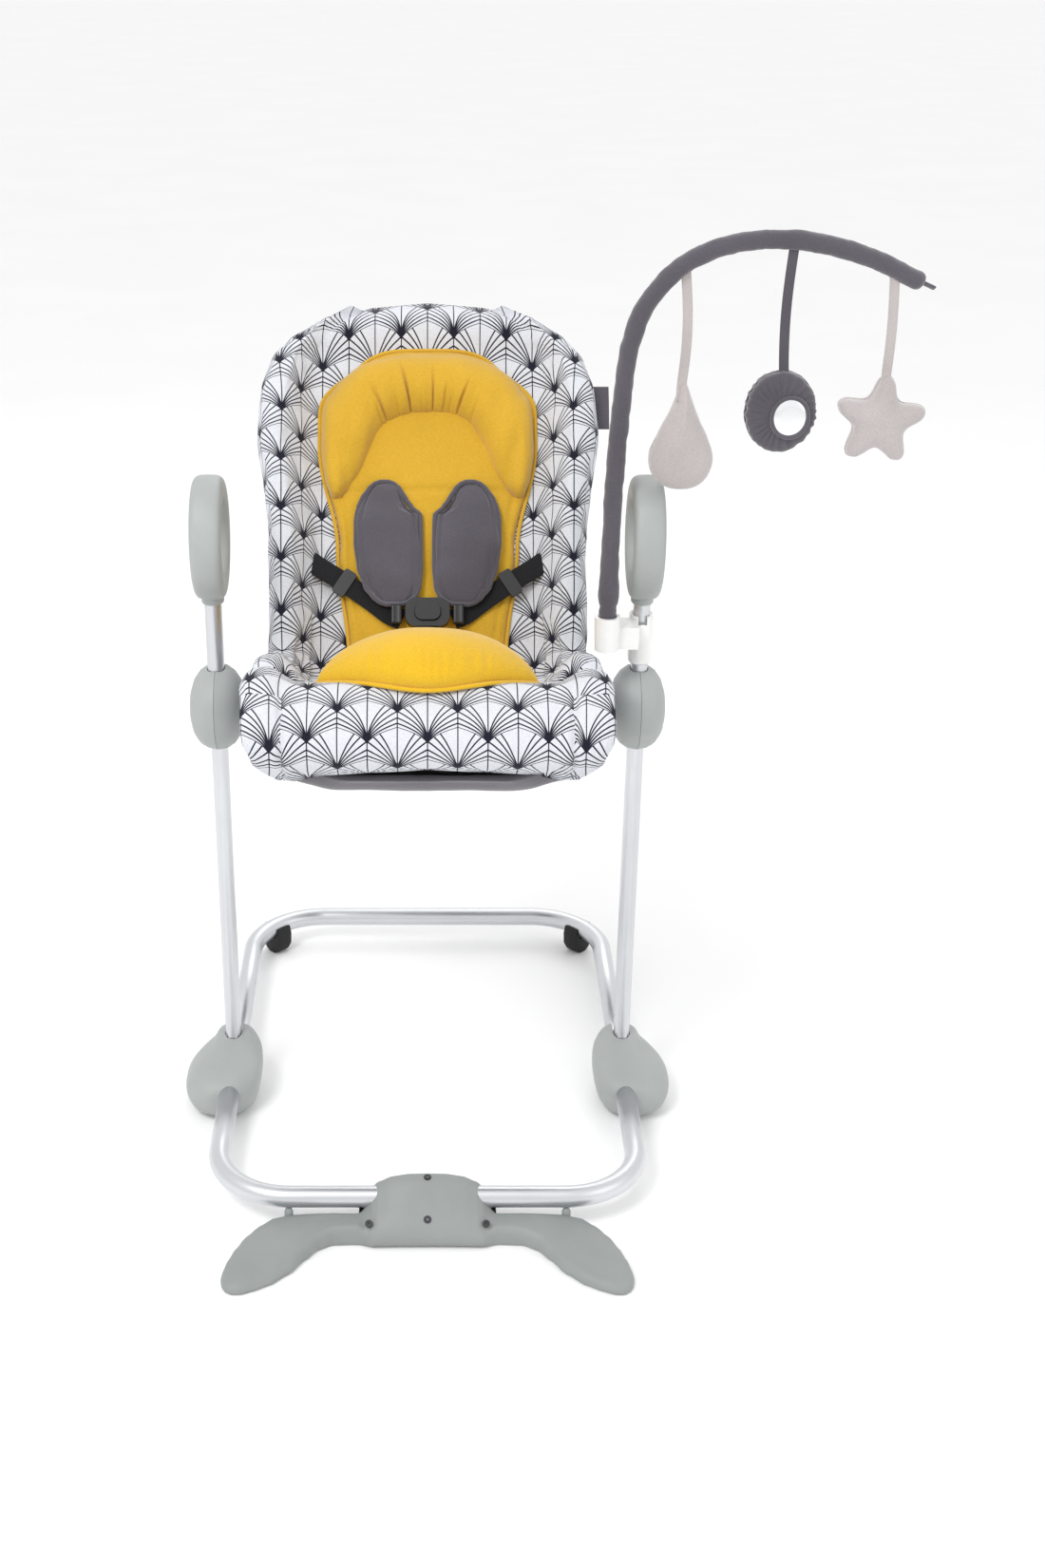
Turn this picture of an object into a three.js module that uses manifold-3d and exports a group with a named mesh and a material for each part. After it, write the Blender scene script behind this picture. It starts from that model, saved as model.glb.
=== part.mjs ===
// A height-adjustable bouncer seat on a folding tube stand.
// Millimetres, +Z up, +X to the right of someone who faces the seat, +Y towards its back.
// The origin is on the floor under the middle of the front bar.

import * as THREE from 'three';
import { mergeVertices } from 'three/addons/utils/BufferGeometryUtils.js';
import Module from 'manifold-3d';

const wasm = await Module();
wasm.setup();

// Driving dimensions
const GAP = 0.4; // clearance between touching pieces
const HALF_WIDTH = 245; // symmetry plane to the hoops' and uprights' centrelines
const HOOP_RADIUS = 12.5;
const TUBE_WALL = 1.6;
const HOOP_HEIGHT = 38.5;
const UPRIGHT_Y = 286.5; // front bar to the uprights
const REAR_Y = 667.5; // front bar to the rear bar
const FRONT_BEND = 88;
const REAR_BEND = 98;
const HUB_FRONT = -85; // hub ends, from the uprights
const HUB_REAR = 34;
const PIN_HEIGHT = 66;
const PIN_RADIUS = 4;
const FOLD_ANGLE = 55;
const UPRIGHT_WIDTH = 19;
const UPRIGHT_DEPTH = 28;
const RING_CENTRE = 729.5;
const RING_HALF_HEIGHT = 70.5;
const RING_HALF_DEPTH = 64;
const RING_WIDTH = 35;
const PIVOT_Z = 524.5;
const HEIGHT_STEPS = 4;
const HEIGHT_STEP = 110;
const HOUSING_RADIUS = 51;
const HOUSING_HALF_WIDTH = 32;
const HOUSING_WALL = 3;
const BOSS_RADIUS = 15;
const COVER_THICKNESS = 14;
const ARCH_X = 202.5;
const ARCH_Y = UPRIGHT_Y - 40;
const ARCH_RADIUS = 10.3;
const STRAP_WIDTH = 25;
const STRAP_THICKNESS = 1.6;

const { cos, sin, PI, sqrt, abs, max, min } = Math;
const point = (x, y, z) => new THREE.Vector3(x, y, z);
const radians = (degrees) => (degrees * PI) / 180;
const mix = (a, b, t) => a + (b - a) * t;
const series = (count, make) => Array.from({ length: count }, (_, i) => make(i));

function smooth(low, high, value) {
  const t = min(max((value - low) / (high - low), 0), 1);
  return t * t * (3 - 2 * t);
}

// ---------------------------------------------------------------- solids

function solid(geometry) {
  const bare = new THREE.BufferGeometry();
  bare.setAttribute('position', geometry.attributes.position.clone());
  if (geometry.index) bare.setIndex(geometry.index);
  const merged = mergeVertices(bare, 1e-3);
  const triVerts = new Uint32Array(merged.index.array);
  return new wasm.Manifold(
    new wasm.Mesh({ numProp: 3, vertProperties: merged.attributes.position.array, triVerts })
  );
}

function geometryOf(manifold) {
  const mesh = manifold.getMesh();
  const geometry = new THREE.BufferGeometry();
  geometry.setAttribute('position', new THREE.BufferAttribute(mesh.vertProperties, 3));
  geometry.setIndex(new THREE.BufferAttribute(mesh.triVerts, 1));
  return geometry;
}

const join = (first, ...others) =>
  geometryOf(others.reduce((whole, other) => whole.add(solid(other)), solid(first)));

const cut = (body, ...tools) =>
  geometryOf(tools.reduce((rest, tool) => rest.subtract(solid(tool)), solid(body)));

const common = (a, b) => geometryOf(solid(a).intersect(solid(b)));

// Turns the faces outwards, judged by the sign of the enclosed volume.
function outward(geometry) {
  const p = geometry.attributes.position;
  const index = geometry.index.array;
  const [a, b, c] = [point(0, 0, 0), point(0, 0, 0), point(0, 0, 0)];
  let volume = 0;
  for (let i = 0; i < index.length; i += 3) {
    a.fromBufferAttribute(p, index[i]);
    b.fromBufferAttribute(p, index[i + 1]);
    c.fromBufferAttribute(p, index[i + 2]);
    volume += a.dot(b.cross(c));
  }
  if (volume < 0) {
    for (let i = 0; i < index.length; i += 3) {
      [index[i + 1], index[i + 2]] = [index[i + 2], index[i + 1]];
    }
  }
  return geometry;
}

function indexed(points, faces) {
  const geometry = new THREE.BufferGeometry();
  const flat = points.flatMap((p) => [p.x, p.y, p.z]);
  geometry.setAttribute('position', new THREE.BufferAttribute(new Float32Array(flat), 3));
  geometry.setIndex(new THREE.BufferAttribute(new Uint32Array(faces), 1));
  return outward(geometry);
}

function mirrored(geometry) {
  return outward(geometry.clone().applyMatrix4(new THREE.Matrix4().makeScale(-1, 1, 1)));
}

// A body through closed rings of points, with a fan over each end or joined end to end.
function loft(rings, loop = false) {
  const n = rings[0].length;
  const points = rings.flat();
  const faces = [];
  const spans = loop ? rings.length : rings.length - 1;
  for (let i = 0; i < spans; i++) {
    const a = i * n;
    const b = ((i + 1) % rings.length) * n;
    for (let j = 0; j < n; j++) {
      const k = (j + 1) % n;
      faces.push(a + j, a + k, b + k, a + j, b + k, b + j);
    }
  }
  if (!loop) {
    [0, rings.length - 1].forEach((end) => {
      const centre = rings[end].reduce((sum, p) => sum.add(p), point(0, 0, 0)).divideScalar(n);
      points.push(centre);
      series(n, (j) => {
        const edge = [end * n + j, end * n + ((j + 1) % n)];
        faces.push(points.length - 1, ...(end ? edge : edge.reverse()));
      });
    });
  }
  return indexed(points, faces);
}

// A closed sheet between two surfaces, top(u, v) and bottom(u, v), with u and v from 0 to 1.
function slab(nu, nv, top, bottom) {
  const grid = (surface) =>
    series((nu + 1) * (nv + 1), (i) => surface((i % (nu + 1)) / nu, Math.floor(i / (nu + 1)) / nv));
  const points = [...grid(top), ...grid(bottom)];
  const under = (nu + 1) * (nv + 1);
  const at = (i, j) => j * (nu + 1) + i;
  const faces = [];
  const quad = (a, b, c, d) => faces.push(a, b, c, a, c, d);
  for (let j = 0; j < nv; j++) {
    for (let i = 0; i < nu; i++) {
      const [a, b, c, d] = [at(i, j), at(i + 1, j), at(i + 1, j + 1), at(i, j + 1)];
      quad(a, b, c, d);
      quad(under + d, under + c, under + b, under + a);
    }
  }
  const wall = (a, b) => quad(b, a, under + a, under + b);
  for (let i = 0; i < nu; i++) {
    wall(at(i, 0), at(i + 1, 0));
    wall(at(i + 1, nv), at(i, nv));
  }
  for (let j = 0; j < nv; j++) {
    wall(at(0, j + 1), at(0, j));
    wall(at(nu, j), at(nu, j + 1));
  }
  return indexed(points, faces);
}

// A path through listed points, so that a swept tube gets one section at each of them.
class ListedPath extends THREE.Curve {
  constructor(points) {
    super();
    this.points = points;
  }
  getPoint(t) {
    const spot = t * (this.points.length - 1);
    const i = min(Math.floor(spot), this.points.length - 2);
    return this.points[i].clone().lerp(this.points[i + 1], spot - i);
  }
  getPointAt(t) {
    return this.getPoint(t);
  }
  getTangentAt(t) {
    const half = 0.5 / (this.points.length - 1);
    const ahead = this.getPoint(min(t + half, 1));
    return ahead.sub(this.getPoint(max(t - half, 0))).normalize();
  }
  getSpacedPoints(divisions) {
    return this.getPoints(divisions);
  }
}

function roundShape(radius, sides, hole = 0) {
  const circle = (r) => series(sides, (i) => {
    const angle = (2 * PI * i) / sides;
    return new THREE.Vector2(r * cos(angle), r * sin(angle));
  });
  const shape = new THREE.Shape(circle(radius));
  if (hole) shape.holes.push(new THREE.Path(circle(hole)));
  return shape;
}

function sweep(points, shape) {
  const steps = points.length - 1;
  const options = { steps, bevelEnabled: false, extrudePath: new ListedPath(points) };
  return new THREE.ExtrudeGeometry(shape, options);
}

// Points of a polyline in a horizontal or vertical plane with its corners rounded.
function rounded(corners, radius, perBend = 6) {
  const path = [corners[0]];
  for (let i = 1; i < corners.length - 1; i++) {
    const before = corners[i - 1].clone().sub(corners[i]).normalize();
    const after = corners[i + 1].clone().sub(corners[i]).normalize();
    const turn = Math.acos(before.dot(after));
    const reach = radius / Math.tan(turn / 2);
    const inwards = before.clone().add(after).normalize();
    const centre = corners[i].clone().addScaledVector(inwards, radius / sin(turn / 2));
    const start = corners[i].clone().addScaledVector(before, reach).sub(centre);
    const end = corners[i].clone().addScaledVector(after, reach).sub(centre);
    const sweepAngle = PI - turn;
    series(perBend + 1, (k) => {
      const t = k / perBend;
      const a = sin((1 - t) * sweepAngle) / sin(sweepAngle);
      const b = sin(t * sweepAngle) / sin(sweepAngle);
      path.push(centre.clone().addScaledVector(start, a).addScaledVector(end, b));
    });
  }
  return [...path, corners.at(-1)];
}

// A prism along X from an outline in the YZ plane.
function prismX(outline, xLow, xHigh, bevel = 0) {
  const shape = new THREE.Shape(outline.map(([y, z]) => new THREE.Vector2(y, z)));
  const options = {
    depth: xHigh - xLow - 2 * bevel,
    bevelEnabled: bevel > 0,
    bevelThickness: bevel,
    bevelSize: bevel,
    bevelOffset: -bevel,
    bevelSegments: 2,
  };
  const geometry = new THREE.ExtrudeGeometry(shape, options);
  geometry.applyMatrix4(new THREE.Matrix4().makeBasis(point(0, 1, 0), point(0, 0, 1), point(1, 0, 0)));
  return geometry.translate(xLow + bevel, 0, 0);
}

function rodX(radius, xLow, xHigh, y, z, sides = 16) {
  const rod = new THREE.CylinderGeometry(radius, radius, xHigh - xLow, sides).rotateZ(PI / 2);
  return rod.translate((xLow + xHigh) / 2, y, z);
}

function block(x, y, z) {
  const box = new THREE.BoxGeometry(x[1] - x[0], y[1] - y[0], z[1] - z[0]);
  return box.translate((x[0] + x[1]) / 2, (y[0] + y[1]) / 2, (z[0] + z[1]) / 2);
}

// ---------------------------------------------------------------- materials

const finish = (color, roughness, metalness = 0) =>
  new THREE.MeshStandardMaterial({ color, roughness, metalness });

const ALUMINIUM = finish(0xc9cbce, 0.35, 0.9);
const STEEL = finish(0x8b8d90, 0.35, 1);
const GREY_PLASTIC = finish(0xa4a9a8, 0.55);
const FOOT_PLASTIC = finish(0x8c9190, 0.6);
const WHITE_PLASTIC = finish(0xf0f0ee, 0.4);
const BLACK_PLASTIC = finish(0x17171a, 0.45);
const RUBBER = finish(0x161616, 0.85);
const PATTERNED = finish(0xe6e8ee, 0.9);
const DARK_FABRIC = finish(0x514e57, 0.95);
const YELLOW = finish(0xdfab1a, 0.95);
const WEBBING = finish(0x1a1a1e, 0.9);
const WARM_GREY = finish(0xb5aeaa, 0.95);
const MIRROR = finish(0xf4f6f8, 0.05, 1);

const bouncer = new THREE.Group();

function add(name, geometry, material) {
  const mesh = new THREE.Mesh(geometry, material);
  mesh.name = name;
  bouncer.add(mesh);
}

// The piece is made for the +X side and mirrored for the other.
function addPair(name, geometry, material) {
  add(`${name}_right`, geometry, material);
  add(`${name}_left`, mirrored(geometry), material);
}

// ---------------------------------------------------------------- base

const hoopSection = roundShape(HOOP_RADIUS, 12, HOOP_RADIUS - TUBE_WALL);

function hoop(barY, endY, bend) {
  const corners = [
    point(-HALF_WIDTH, endY, HOOP_HEIGHT),
    point(-HALF_WIDTH, barY, HOOP_HEIGHT),
    point(HALF_WIDTH, barY, HOOP_HEIGHT),
    point(HALF_WIDTH, endY, HOOP_HEIGHT),
  ];
  return sweep(rounded(corners, bend), hoopSection);
}

const SNAP_Y = UPRIGHT_Y + 110;
const SNAP_RADIUS = 3.2;
const SNAP_TILT = radians(50);

// A round rod that leaves the tube's axis upwards and outwards at the snap button.
function snapRod(radius, from, to) {
  const rod = new THREE.CylinderGeometry(radius, radius, to - from, 12).translate(0, (from + to) / 2, 0);
  return rod.rotateX(PI / 2).rotateY(SNAP_TILT).translate(HALF_WIDTH, SNAP_Y, HOOP_HEIGHT);
}

function rearHoop() {
  const tube = hoop(REAR_Y, UPRIGHT_Y + HUB_REAR + GAP, REAR_BEND);
  const hole = snapRod(SNAP_RADIUS + 0.4, 4, HOOP_RADIUS + 4);
  return cut(tube, hole, mirrored(hole));
}

function hub() {
  const y = (offset) => UPRIGHT_Y + offset;
  const ridge = prismX([
    [y(HUB_FRONT), 6], [y(HUB_FRONT), 46], [y(HUB_FRONT + 14), 57], [y(-42), 62],
    [y(-10), 90], [y(4), 96], [y(20), 93], [y(30), 82], [y(HUB_REAR), 64], [y(HUB_REAR), 6],
  ], HALF_WIDTH - 23, HALF_WIDTH + 23, 5);
  const lobe = new THREE.CylinderGeometry(50, 56, 30, 24).rotateX(PI / 2);
  lobe.translate(HALF_WIDTH, y(-28), 21);
  const outer = common(lobe, block([HALF_WIDTH - 38, 400], [0, 700], [0, 60]));
  const body = join(ridge, outer);
  const clearance = UPRIGHT_WIDTH / 2 + 0.6;
  const reach = 60;
  const half = UPRIGHT_DEPTH / 2 + 1;
  const lean = radians(FOLD_ANGLE + 2);
  const [slotLow, slotHigh] = [HALF_WIDTH - clearance, HALF_WIDTH + clearance];
  const knuckle = rodX(half + 0.2, slotLow, slotHigh, UPRIGHT_Y, PIN_HEIGHT, 20);
  const slot = prismX([
    [y(-half), PIN_HEIGHT + reach],
    [y(-half), PIN_HEIGHT],
    [y(half * cos(lean)), PIN_HEIGHT - half * sin(lean)],
    [y(reach * sin(lean) + half * cos(lean)), PIN_HEIGHT + reach * cos(lean) - half * sin(lean)],
  ], slotLow, slotHigh);
  const mouth = new THREE.CylinderGeometry(HOOP_RADIUS + GAP, HOOP_RADIUS + GAP, 90, 14);
  mouth.translate(HALF_WIDTH, y(HUB_FRONT + 20), HOOP_HEIGHT);
  const pinHole = rodX(PIN_RADIUS + 0.35, HALF_WIDTH - 18, HALF_WIDTH + 30, UPRIGHT_Y, PIN_HEIGHT);
  const spigotRadius = HOOP_RADIUS - TUBE_WALL - 0.7;
  const spigot = new THREE.CylinderGeometry(spigotRadius, spigotRadius, 110, 14);
  spigot.translate(HALF_WIDTH, y(HUB_REAR + 50), HOOP_HEIGHT);
  const snapBore = snapRod(SNAP_RADIUS + 0.4, 0, 30);
  return cut(join(cut(body, slot, knuckle, mouth, pinHole), spigot), snapBore);
}


// A piece made along +Y, from its own origin, moved so that +Y points along the direction given.
function aimed(geometry, origin, direction) {
  const turn = new THREE.Quaternion().setFromUnitVectors(point(0, 1, 0), direction.clone().normalize());
  return geometry.applyQuaternion(turn).translate(origin.x, origin.y, origin.z);
}

const rodY = (radius, from, to, sides = 14) =>
  new THREE.CylinderGeometry(radius, radius, to - from, sides).translate(0, (from + to) / 2, 0);

// Sections of the front foot from its middle to a paw's tip: x, centre y, centre z, half depth,
// half height and tilt in degrees.
const FOOT_SECTIONS = [
  [0, -17, 43, 40, 21, 38],
  [46, -17, 42, 40, 21, 38],
  [62, -18, 36, 38, 17, 36],
  [84, -24, 29, 33, 12, 30],
  [112, -36, 23, 34, 10, 24],
  [145, -54, 17, 40, 9, 17],
  [180, -80, 11, 42, 8, 9],
  [208, -103, 8, 34, 8, 4],
  [222, -112, 7, 22, 7, 2],
  [228, -115, 6, 10, 4.5, 0],
];
const PLATE = { x: 78, front: -17, rear: 18, top: HOOP_HEIGHT - HOOP_RADIUS - GAP };
const SCREW_AIM = point(0, 0.6, -0.8);
const SCREWS = [
  { name: 'foot_screw_top', head: point(0, 1, 65.5), aim: point(0, 0, -1), length: 17 },
  { name: 'foot_screw_middle', head: point(0, -38.5, 36), aim: SCREW_AIM, length: 32 },
  { name: 'foot_screw_right', head: point(66, -38, 30), aim: SCREW_AIM, length: 30 },
  { name: 'foot_screw_left', head: point(-66, -38, 30), aim: SCREW_AIM, length: 30 },
];

function footSection([x, y, z, depth, height, tilt], side) {
  const lean = radians(tilt);
  const round = (value) => Math.sign(value) * abs(value) ** 0.75;
  return series(12, (i) => {
    const along = depth * round(cos((2 * PI * i) / 12));
    const up = height * round(sin((2 * PI * i) / 12));
    const raised = z + along * sin(lean) + up * cos(lean);
    return point(side * x, y + along * cos(lean) - up * sin(lean), max(0, raised));
  });
}

function screwRoom({ head, aim, length }) {
  const hole = aimed(rodY(2.6, 0, length + 0.5, 8), head, aim);
  return [hole, aimed(rodY(5.1, -12, 2.8, 10), head, aim)];
}

function screw({ head, aim, length }) {
  const socket = rodY(1.5, -1, 1.4, 6);
  return aimed(cut(join(rodY(4.4, 0, 2.4, 10), rodY(2.2, 1, length, 8)), socket), head, aim);
}

function frontFoot() {
  const left = FOOT_SECTIONS.slice(1).reverse().map((row) => footSection(row, -1));
  const body = loft([...left, ...FOOT_SECTIONS.map((row) => footSection(row, 1))]);
  const saddle = rodX(HOOP_RADIUS + GAP, -200, 200, 0, HOOP_HEIGHT, 28);
  const entry = block([-200, 200], [-HOOP_RADIUS - GAP, 60], [-5, HOOP_HEIGHT]);
  const plate = footPlateBlank(GAP);
  return cut(body, saddle, entry, plate, ...SCREWS.flatMap(screwRoom));
}

function footPlateBlank(extra) {
  const [x, front, rear] = [PLATE.x + extra, PLATE.front - extra, PLATE.rear + extra];
  return block([-x, x], [front, rear], [-extra, PLATE.top + extra]);
}

const footPlate = () => cut(footPlateBlank(0), ...SCREWS.flatMap(screwRoom));

// A rubber D that clips under the rear hoop halfway round its bend and rests on the floor.
function rearFoot() {
  const outline = [
    [-16, 42], [-19, 30], [-18, 14], [-12, 4], [-5, 0], [5, 0], [12, 4], [18, 14], [19, 30], [16, 42],
  ];
  const body = prismX(outline, -12, 12, 3);
  const room = HOOP_RADIUS + 2.2;
  const bar = rodX(room, -50, 50, 0, HOOP_HEIGHT, 28);
  const mouth = block([-50, 50], [-room + 1, room - 1], [HOOP_HEIGHT, 70]);
  const reach = REAR_BEND * (1 - Math.SQRT1_2);
  return cut(body, bar, mouth).rotateZ(-PI / 4).translate(HALF_WIDTH - reach, REAR_Y - reach, 0);
}

function frontHoop() {
  const tube = hoop(0, UPRIGHT_Y + HUB_FRONT + 60, FRONT_BEND);
  return cut(tube, ...screwRoom(SCREWS[0]));
}

function snapButton() {
  const dome = new THREE.SphereGeometry(SNAP_RADIUS, 10, 6).scale(1, 0.6, 1);
  const top = HOOP_RADIUS + 0.6;
  const button = join(rodY(SNAP_RADIUS, 4, top, 10), dome.translate(0, top, 0));
  return button.rotateX(PI / 2).rotateY(SNAP_TILT).translate(HALF_WIDTH, SNAP_Y, HOOP_HEIGHT);
}

const foldPin = () => rodX(PIN_RADIUS, HALF_WIDTH - 17.5, HALF_WIDTH + 17.5, UPRIGHT_Y, PIN_HEIGHT, 16);

function addBase() {
  add('front_hoop', frontHoop(), ALUMINIUM);
  add('rear_hoop', rearHoop(), ALUMINIUM);
  addPair('hub', hub(), GREY_PLASTIC);
  addPair('fold_pin', foldPin(), STEEL);
  add('front_foot', frontFoot(), FOOT_PLASTIC);
  add('foot_base_plate', footPlate(), BLACK_PLASTIC);
  SCREWS.forEach((spec) => add(spec.name, screw(spec), STEEL));
  addPair('rear_foot', rearFoot(), RUBBER);
  addPair('snap_button', snapButton(), STEEL);
}

// ---------------------------------------------------------------- stand

const latchHeight = (step) => PIVOT_Z - step * HEIGHT_STEP;
const LATCH_DROP = 34; // latch pins sit below the housing's centre
const LATCH_RADIUS = 3.5;

function upright() {
  const half = UPRIGHT_WIDTH / 2;
  const shape = roundedBar(half, UPRIGHT_DEPTH / 2);
  const wall = TUBE_WALL;
  shape.holes.push(new THREE.Path(roundedBar(half - wall, UPRIGHT_DEPTH / 2 - wall).getPoints(3)));
  const topZ = RING_CENTRE - RING_HALF_HEIGHT + 12;
  const extruded = (outline, depth) =>
    new THREE.ExtrudeGeometry(outline, { depth, bevelEnabled: false, curveSegments: 3 });
  const tube = extruded(shape, topZ - PIN_HEIGHT).translate(HALF_WIDTH, UPRIGHT_Y, PIN_HEIGHT);
  const plug = extruded(roundedBar(half - wall, UPRIGHT_DEPTH / 2 - wall), 30);
  plug.translate(HALF_WIDTH, UPRIGHT_Y, PIN_HEIGHT + 1);
  const [inside, outside] = [HALF_WIDTH - half, HALF_WIDTH + half];
  const knuckle = rodX(UPRIGHT_DEPTH / 2, inside, outside, UPRIGHT_Y, PIN_HEIGHT, 20);
  const pinHole = rodX(PIN_RADIUS + 0.35, HALF_WIDTH - 30, HALF_WIDTH + 30, UPRIGHT_Y, PIN_HEIGHT);
  const latches = series(HEIGHT_STEPS, (i) =>
    rodX(LATCH_RADIUS + 0.5, HALF_WIDTH, HALF_WIDTH + 20, UPRIGHT_Y, latchHeight(i) - LATCH_DROP, 8));
  return cut(join(tube, plug, knuckle), pinHole, ...latches);
}

// An obround in plan, half wide along X and long along Y.
function roundedBar(halfX, halfY) {
  const shape = new THREE.Shape();
  const flat = halfY - halfX;
  shape.absarc(0, flat, halfX, 0, PI, false);
  shape.absarc(0, -flat, halfX, PI, 2 * PI, false);
  return shape;
}

function ringHandle() {
  const rings = series(24, (i) => {
    const angle = (2 * PI * i) / 24 - PI / 2;
    const thick = 12 + 2.5 * sin(angle) ** 2;
    const out = point(0, cos(angle), sin(angle));
    const centre = point(HALF_WIDTH, UPRIGHT_Y + (RING_HALF_DEPTH - thick) * cos(angle),
      RING_CENTRE + (RING_HALF_HEIGHT - thick) * sin(angle));
    return series(10, (k) => {
      const turn = (2 * PI * k) / 10;
      return centre.clone().addScaledVector(out, thick * cos(turn))
        .add(point((RING_WIDTH / 2) * sin(turn), 0, 0));
    });
  });
  const neck = new THREE.CylinderGeometry(16, 13.5, 20, 20).scale(0.95, 1, 1.25).rotateX(PI / 2);
  neck.translate(HALF_WIDTH, UPRIGHT_Y, RING_CENTRE - RING_HALF_HEIGHT + 6);
  const channel = uprightChannel(GAP, RING_CENTRE - RING_HALF_HEIGHT + 12 + GAP);
  return cut(join(loft(rings, true), neck), channel);
}

function uprightChannel(extra, topZ, lowZ = 0) {
  const shape = roundedBar(UPRIGHT_WIDTH / 2 + extra, UPRIGHT_DEPTH / 2 + extra);
  const options = { depth: topZ - lowZ, bevelEnabled: false, curveSegments: 3 };
  const channel = new THREE.ExtrudeGeometry(shape, options);
  return channel.translate(HALF_WIDTH, UPRIGHT_Y, lowZ);
}

const CLAMP = { low: 582, high: 640, socketLow: 610, socketHigh: 650, socketRadius: 15 };

// A C-clip round the right upright with an arm to the cup that holds the arch.
function archClamp() {
  const height = CLAMP.high - CLAMP.low;
  const clip = new THREE.ExtrudeGeometry(roundedBar(13.5, 19), { depth: height - 4, bevelEnabled: true,
    bevelThickness: 2, bevelSize: 2, bevelOffset: -2, bevelSegments: 1, curveSegments: 4 });
  clip.translate(HALF_WIDTH, UPRIGHT_Y, CLAMP.low + 2);
  const cup = new THREE.CylinderGeometry(CLAMP.socketRadius, CLAMP.socketRadius - 1.5,
    CLAMP.socketHigh - CLAMP.socketLow, 20).rotateX(PI / 2);
  cup.translate(ARCH_X, ARCH_Y, (CLAMP.socketLow + CLAMP.socketHigh) / 2);
  const armHeights = [CLAMP.socketLow, CLAMP.high - 4];
  const arm = block([ARCH_X, HALF_WIDTH - 6], [ARCH_Y, UPRIGHT_Y - 4], armHeights);
  const boreDepth = 80;
  const boreRadius = ARCH_RADIUS + 0.5;
  const bore = new THREE.CylinderGeometry(boreRadius, boreRadius, boreDepth, 16).rotateX(PI / 2);
  bore.translate(ARCH_X, ARCH_Y, CLAMP.socketLow + 5 + boreDepth / 2);
  const notch = prismX([[UPRIGHT_Y - 30, CLAMP.high + 5], [UPRIGHT_Y - 12, CLAMP.high - 16],
    [UPRIGHT_Y - 6, CLAMP.high + 5]], HALF_WIDTH - 5, HALF_WIDTH + 5);
  const opening = 6.5;
  const snapGap = block([HALF_WIDTH + 4, HALF_WIDTH + 30],
    [UPRIGHT_Y - opening, UPRIGHT_Y + opening], [500, 700]);
  return cut(join(clip, cup, arm), uprightChannel(GAP, 700, 500), bore, notch, snapGap);
}

function addStand() {
  addPair('upright', upright(), ALUMINIUM);
  addPair('ring_handle', ringHandle(), GREY_PLASTIC);
  add('arch_clamp', archClamp(), WHITE_PLASTIC);
}

// ---------------------------------------------------------------- carriage

// Half of a housing as a shell, open towards the upright.
function housingShell(side) {
  const outline = (radius, depth) => series(6, (i) => {
    const angle = (PI / 2) * (i / 5);
    return new THREE.Vector2(radius * cos(angle) ** 0.8, depth * sin(angle) ** 0.9);
  });
  const outer = outline(HOUSING_RADIUS, HOUSING_HALF_WIDTH - GAP / 2);
  const inner = outline(HOUSING_RADIUS - HOUSING_WALL, HOUSING_HALF_WIDTH - HOUSING_WALL).reverse();
  outer[5].x = 0;
  inner[0].x = 0;
  const profile = [...outer, ...inner, outer[0]];
  const shell = outward(mergedGeometry(new THREE.LatheGeometry(profile, 20)));
  shell.rotateZ(-side * (PI / 2)).translate(HALF_WIDTH + side * GAP / 2, UPRIGHT_Y, PIVOT_Z);
  return outward(shell);
}

function mergedGeometry(geometry) {
  geometry.deleteAttribute('normal');
  geometry.deleteAttribute('uv');
  return mergeVertices(geometry, 1e-3);
}

const TRIGGER = { low: -48, high: -20, halfDepth: 15, innerX: 16.5, outerX: 30 };

function outerShell() {
  const window = block([HALF_WIDTH + 12, HALF_WIDTH + 50],
    [UPRIGHT_Y - TRIGGER.halfDepth - 0.8, UPRIGHT_Y + TRIGGER.halfDepth + 0.8],
    [PIVOT_Z + TRIGGER.low - 0.8, PIVOT_Z + TRIGGER.high + 0.8]);
  return cut(housingShell(1), uprightChannel(0.8, 700, 400), window);
}

function innerShell() {
  const boss = rodX(BOSS_RADIUS + 0.6, 150, HALF_WIDTH - 12, UPRIGHT_Y, PIVOT_Z, 28);
  return cut(housingShell(-1), uprightChannel(0.8, 700, 400), boss);
}

function trigger() {
  const [low, high] = [PIVOT_Z + TRIGGER.low, PIVOT_Z + TRIGGER.high];
  const pad = block([HALF_WIDTH + TRIGGER.innerX, HALF_WIDTH + TRIGGER.outerX],
    [UPRIGHT_Y - TRIGGER.halfDepth, UPRIGHT_Y + TRIGGER.halfDepth], [low, high]);
  const proud = 2.5;
  const round = new THREE.SphereGeometry(1, 36, 20);
  round.scale(HOUSING_HALF_WIDTH + proud, HOUSING_RADIUS + proud, HOUSING_RADIUS + proud);
  const shaped = common(pad, round.translate(HALF_WIDTH, UPRIGHT_Y, PIVOT_Z));
  const pinRoom = 9;
  const relief = block([HALF_WIDTH + 10, HALF_WIDTH + TRIGGER.innerX + 9],
    [UPRIGHT_Y - pinRoom, UPRIGHT_Y + pinRoom],
    [PIVOT_Z - LATCH_DROP - pinRoom + 1, PIVOT_Z - LATCH_DROP + pinRoom - 1]);
  return cut(shaped, relief);
}

// The pin's tip stands just off the upright, so that the height slide is free to move in the model.
function latchPin() {
  const z = PIVOT_Z - LATCH_DROP;
  const outside = HALF_WIDTH + UPRIGHT_WIDTH / 2;
  const tip = rodX(LATCH_RADIUS, outside + GAP, outside + 3.5, UPRIGHT_Y, z, 16);
  return join(tip, rodX(LATCH_RADIUS + 2, outside + 1, outside + 3.5, UPRIGHT_Y, z, 16));
}

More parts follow.
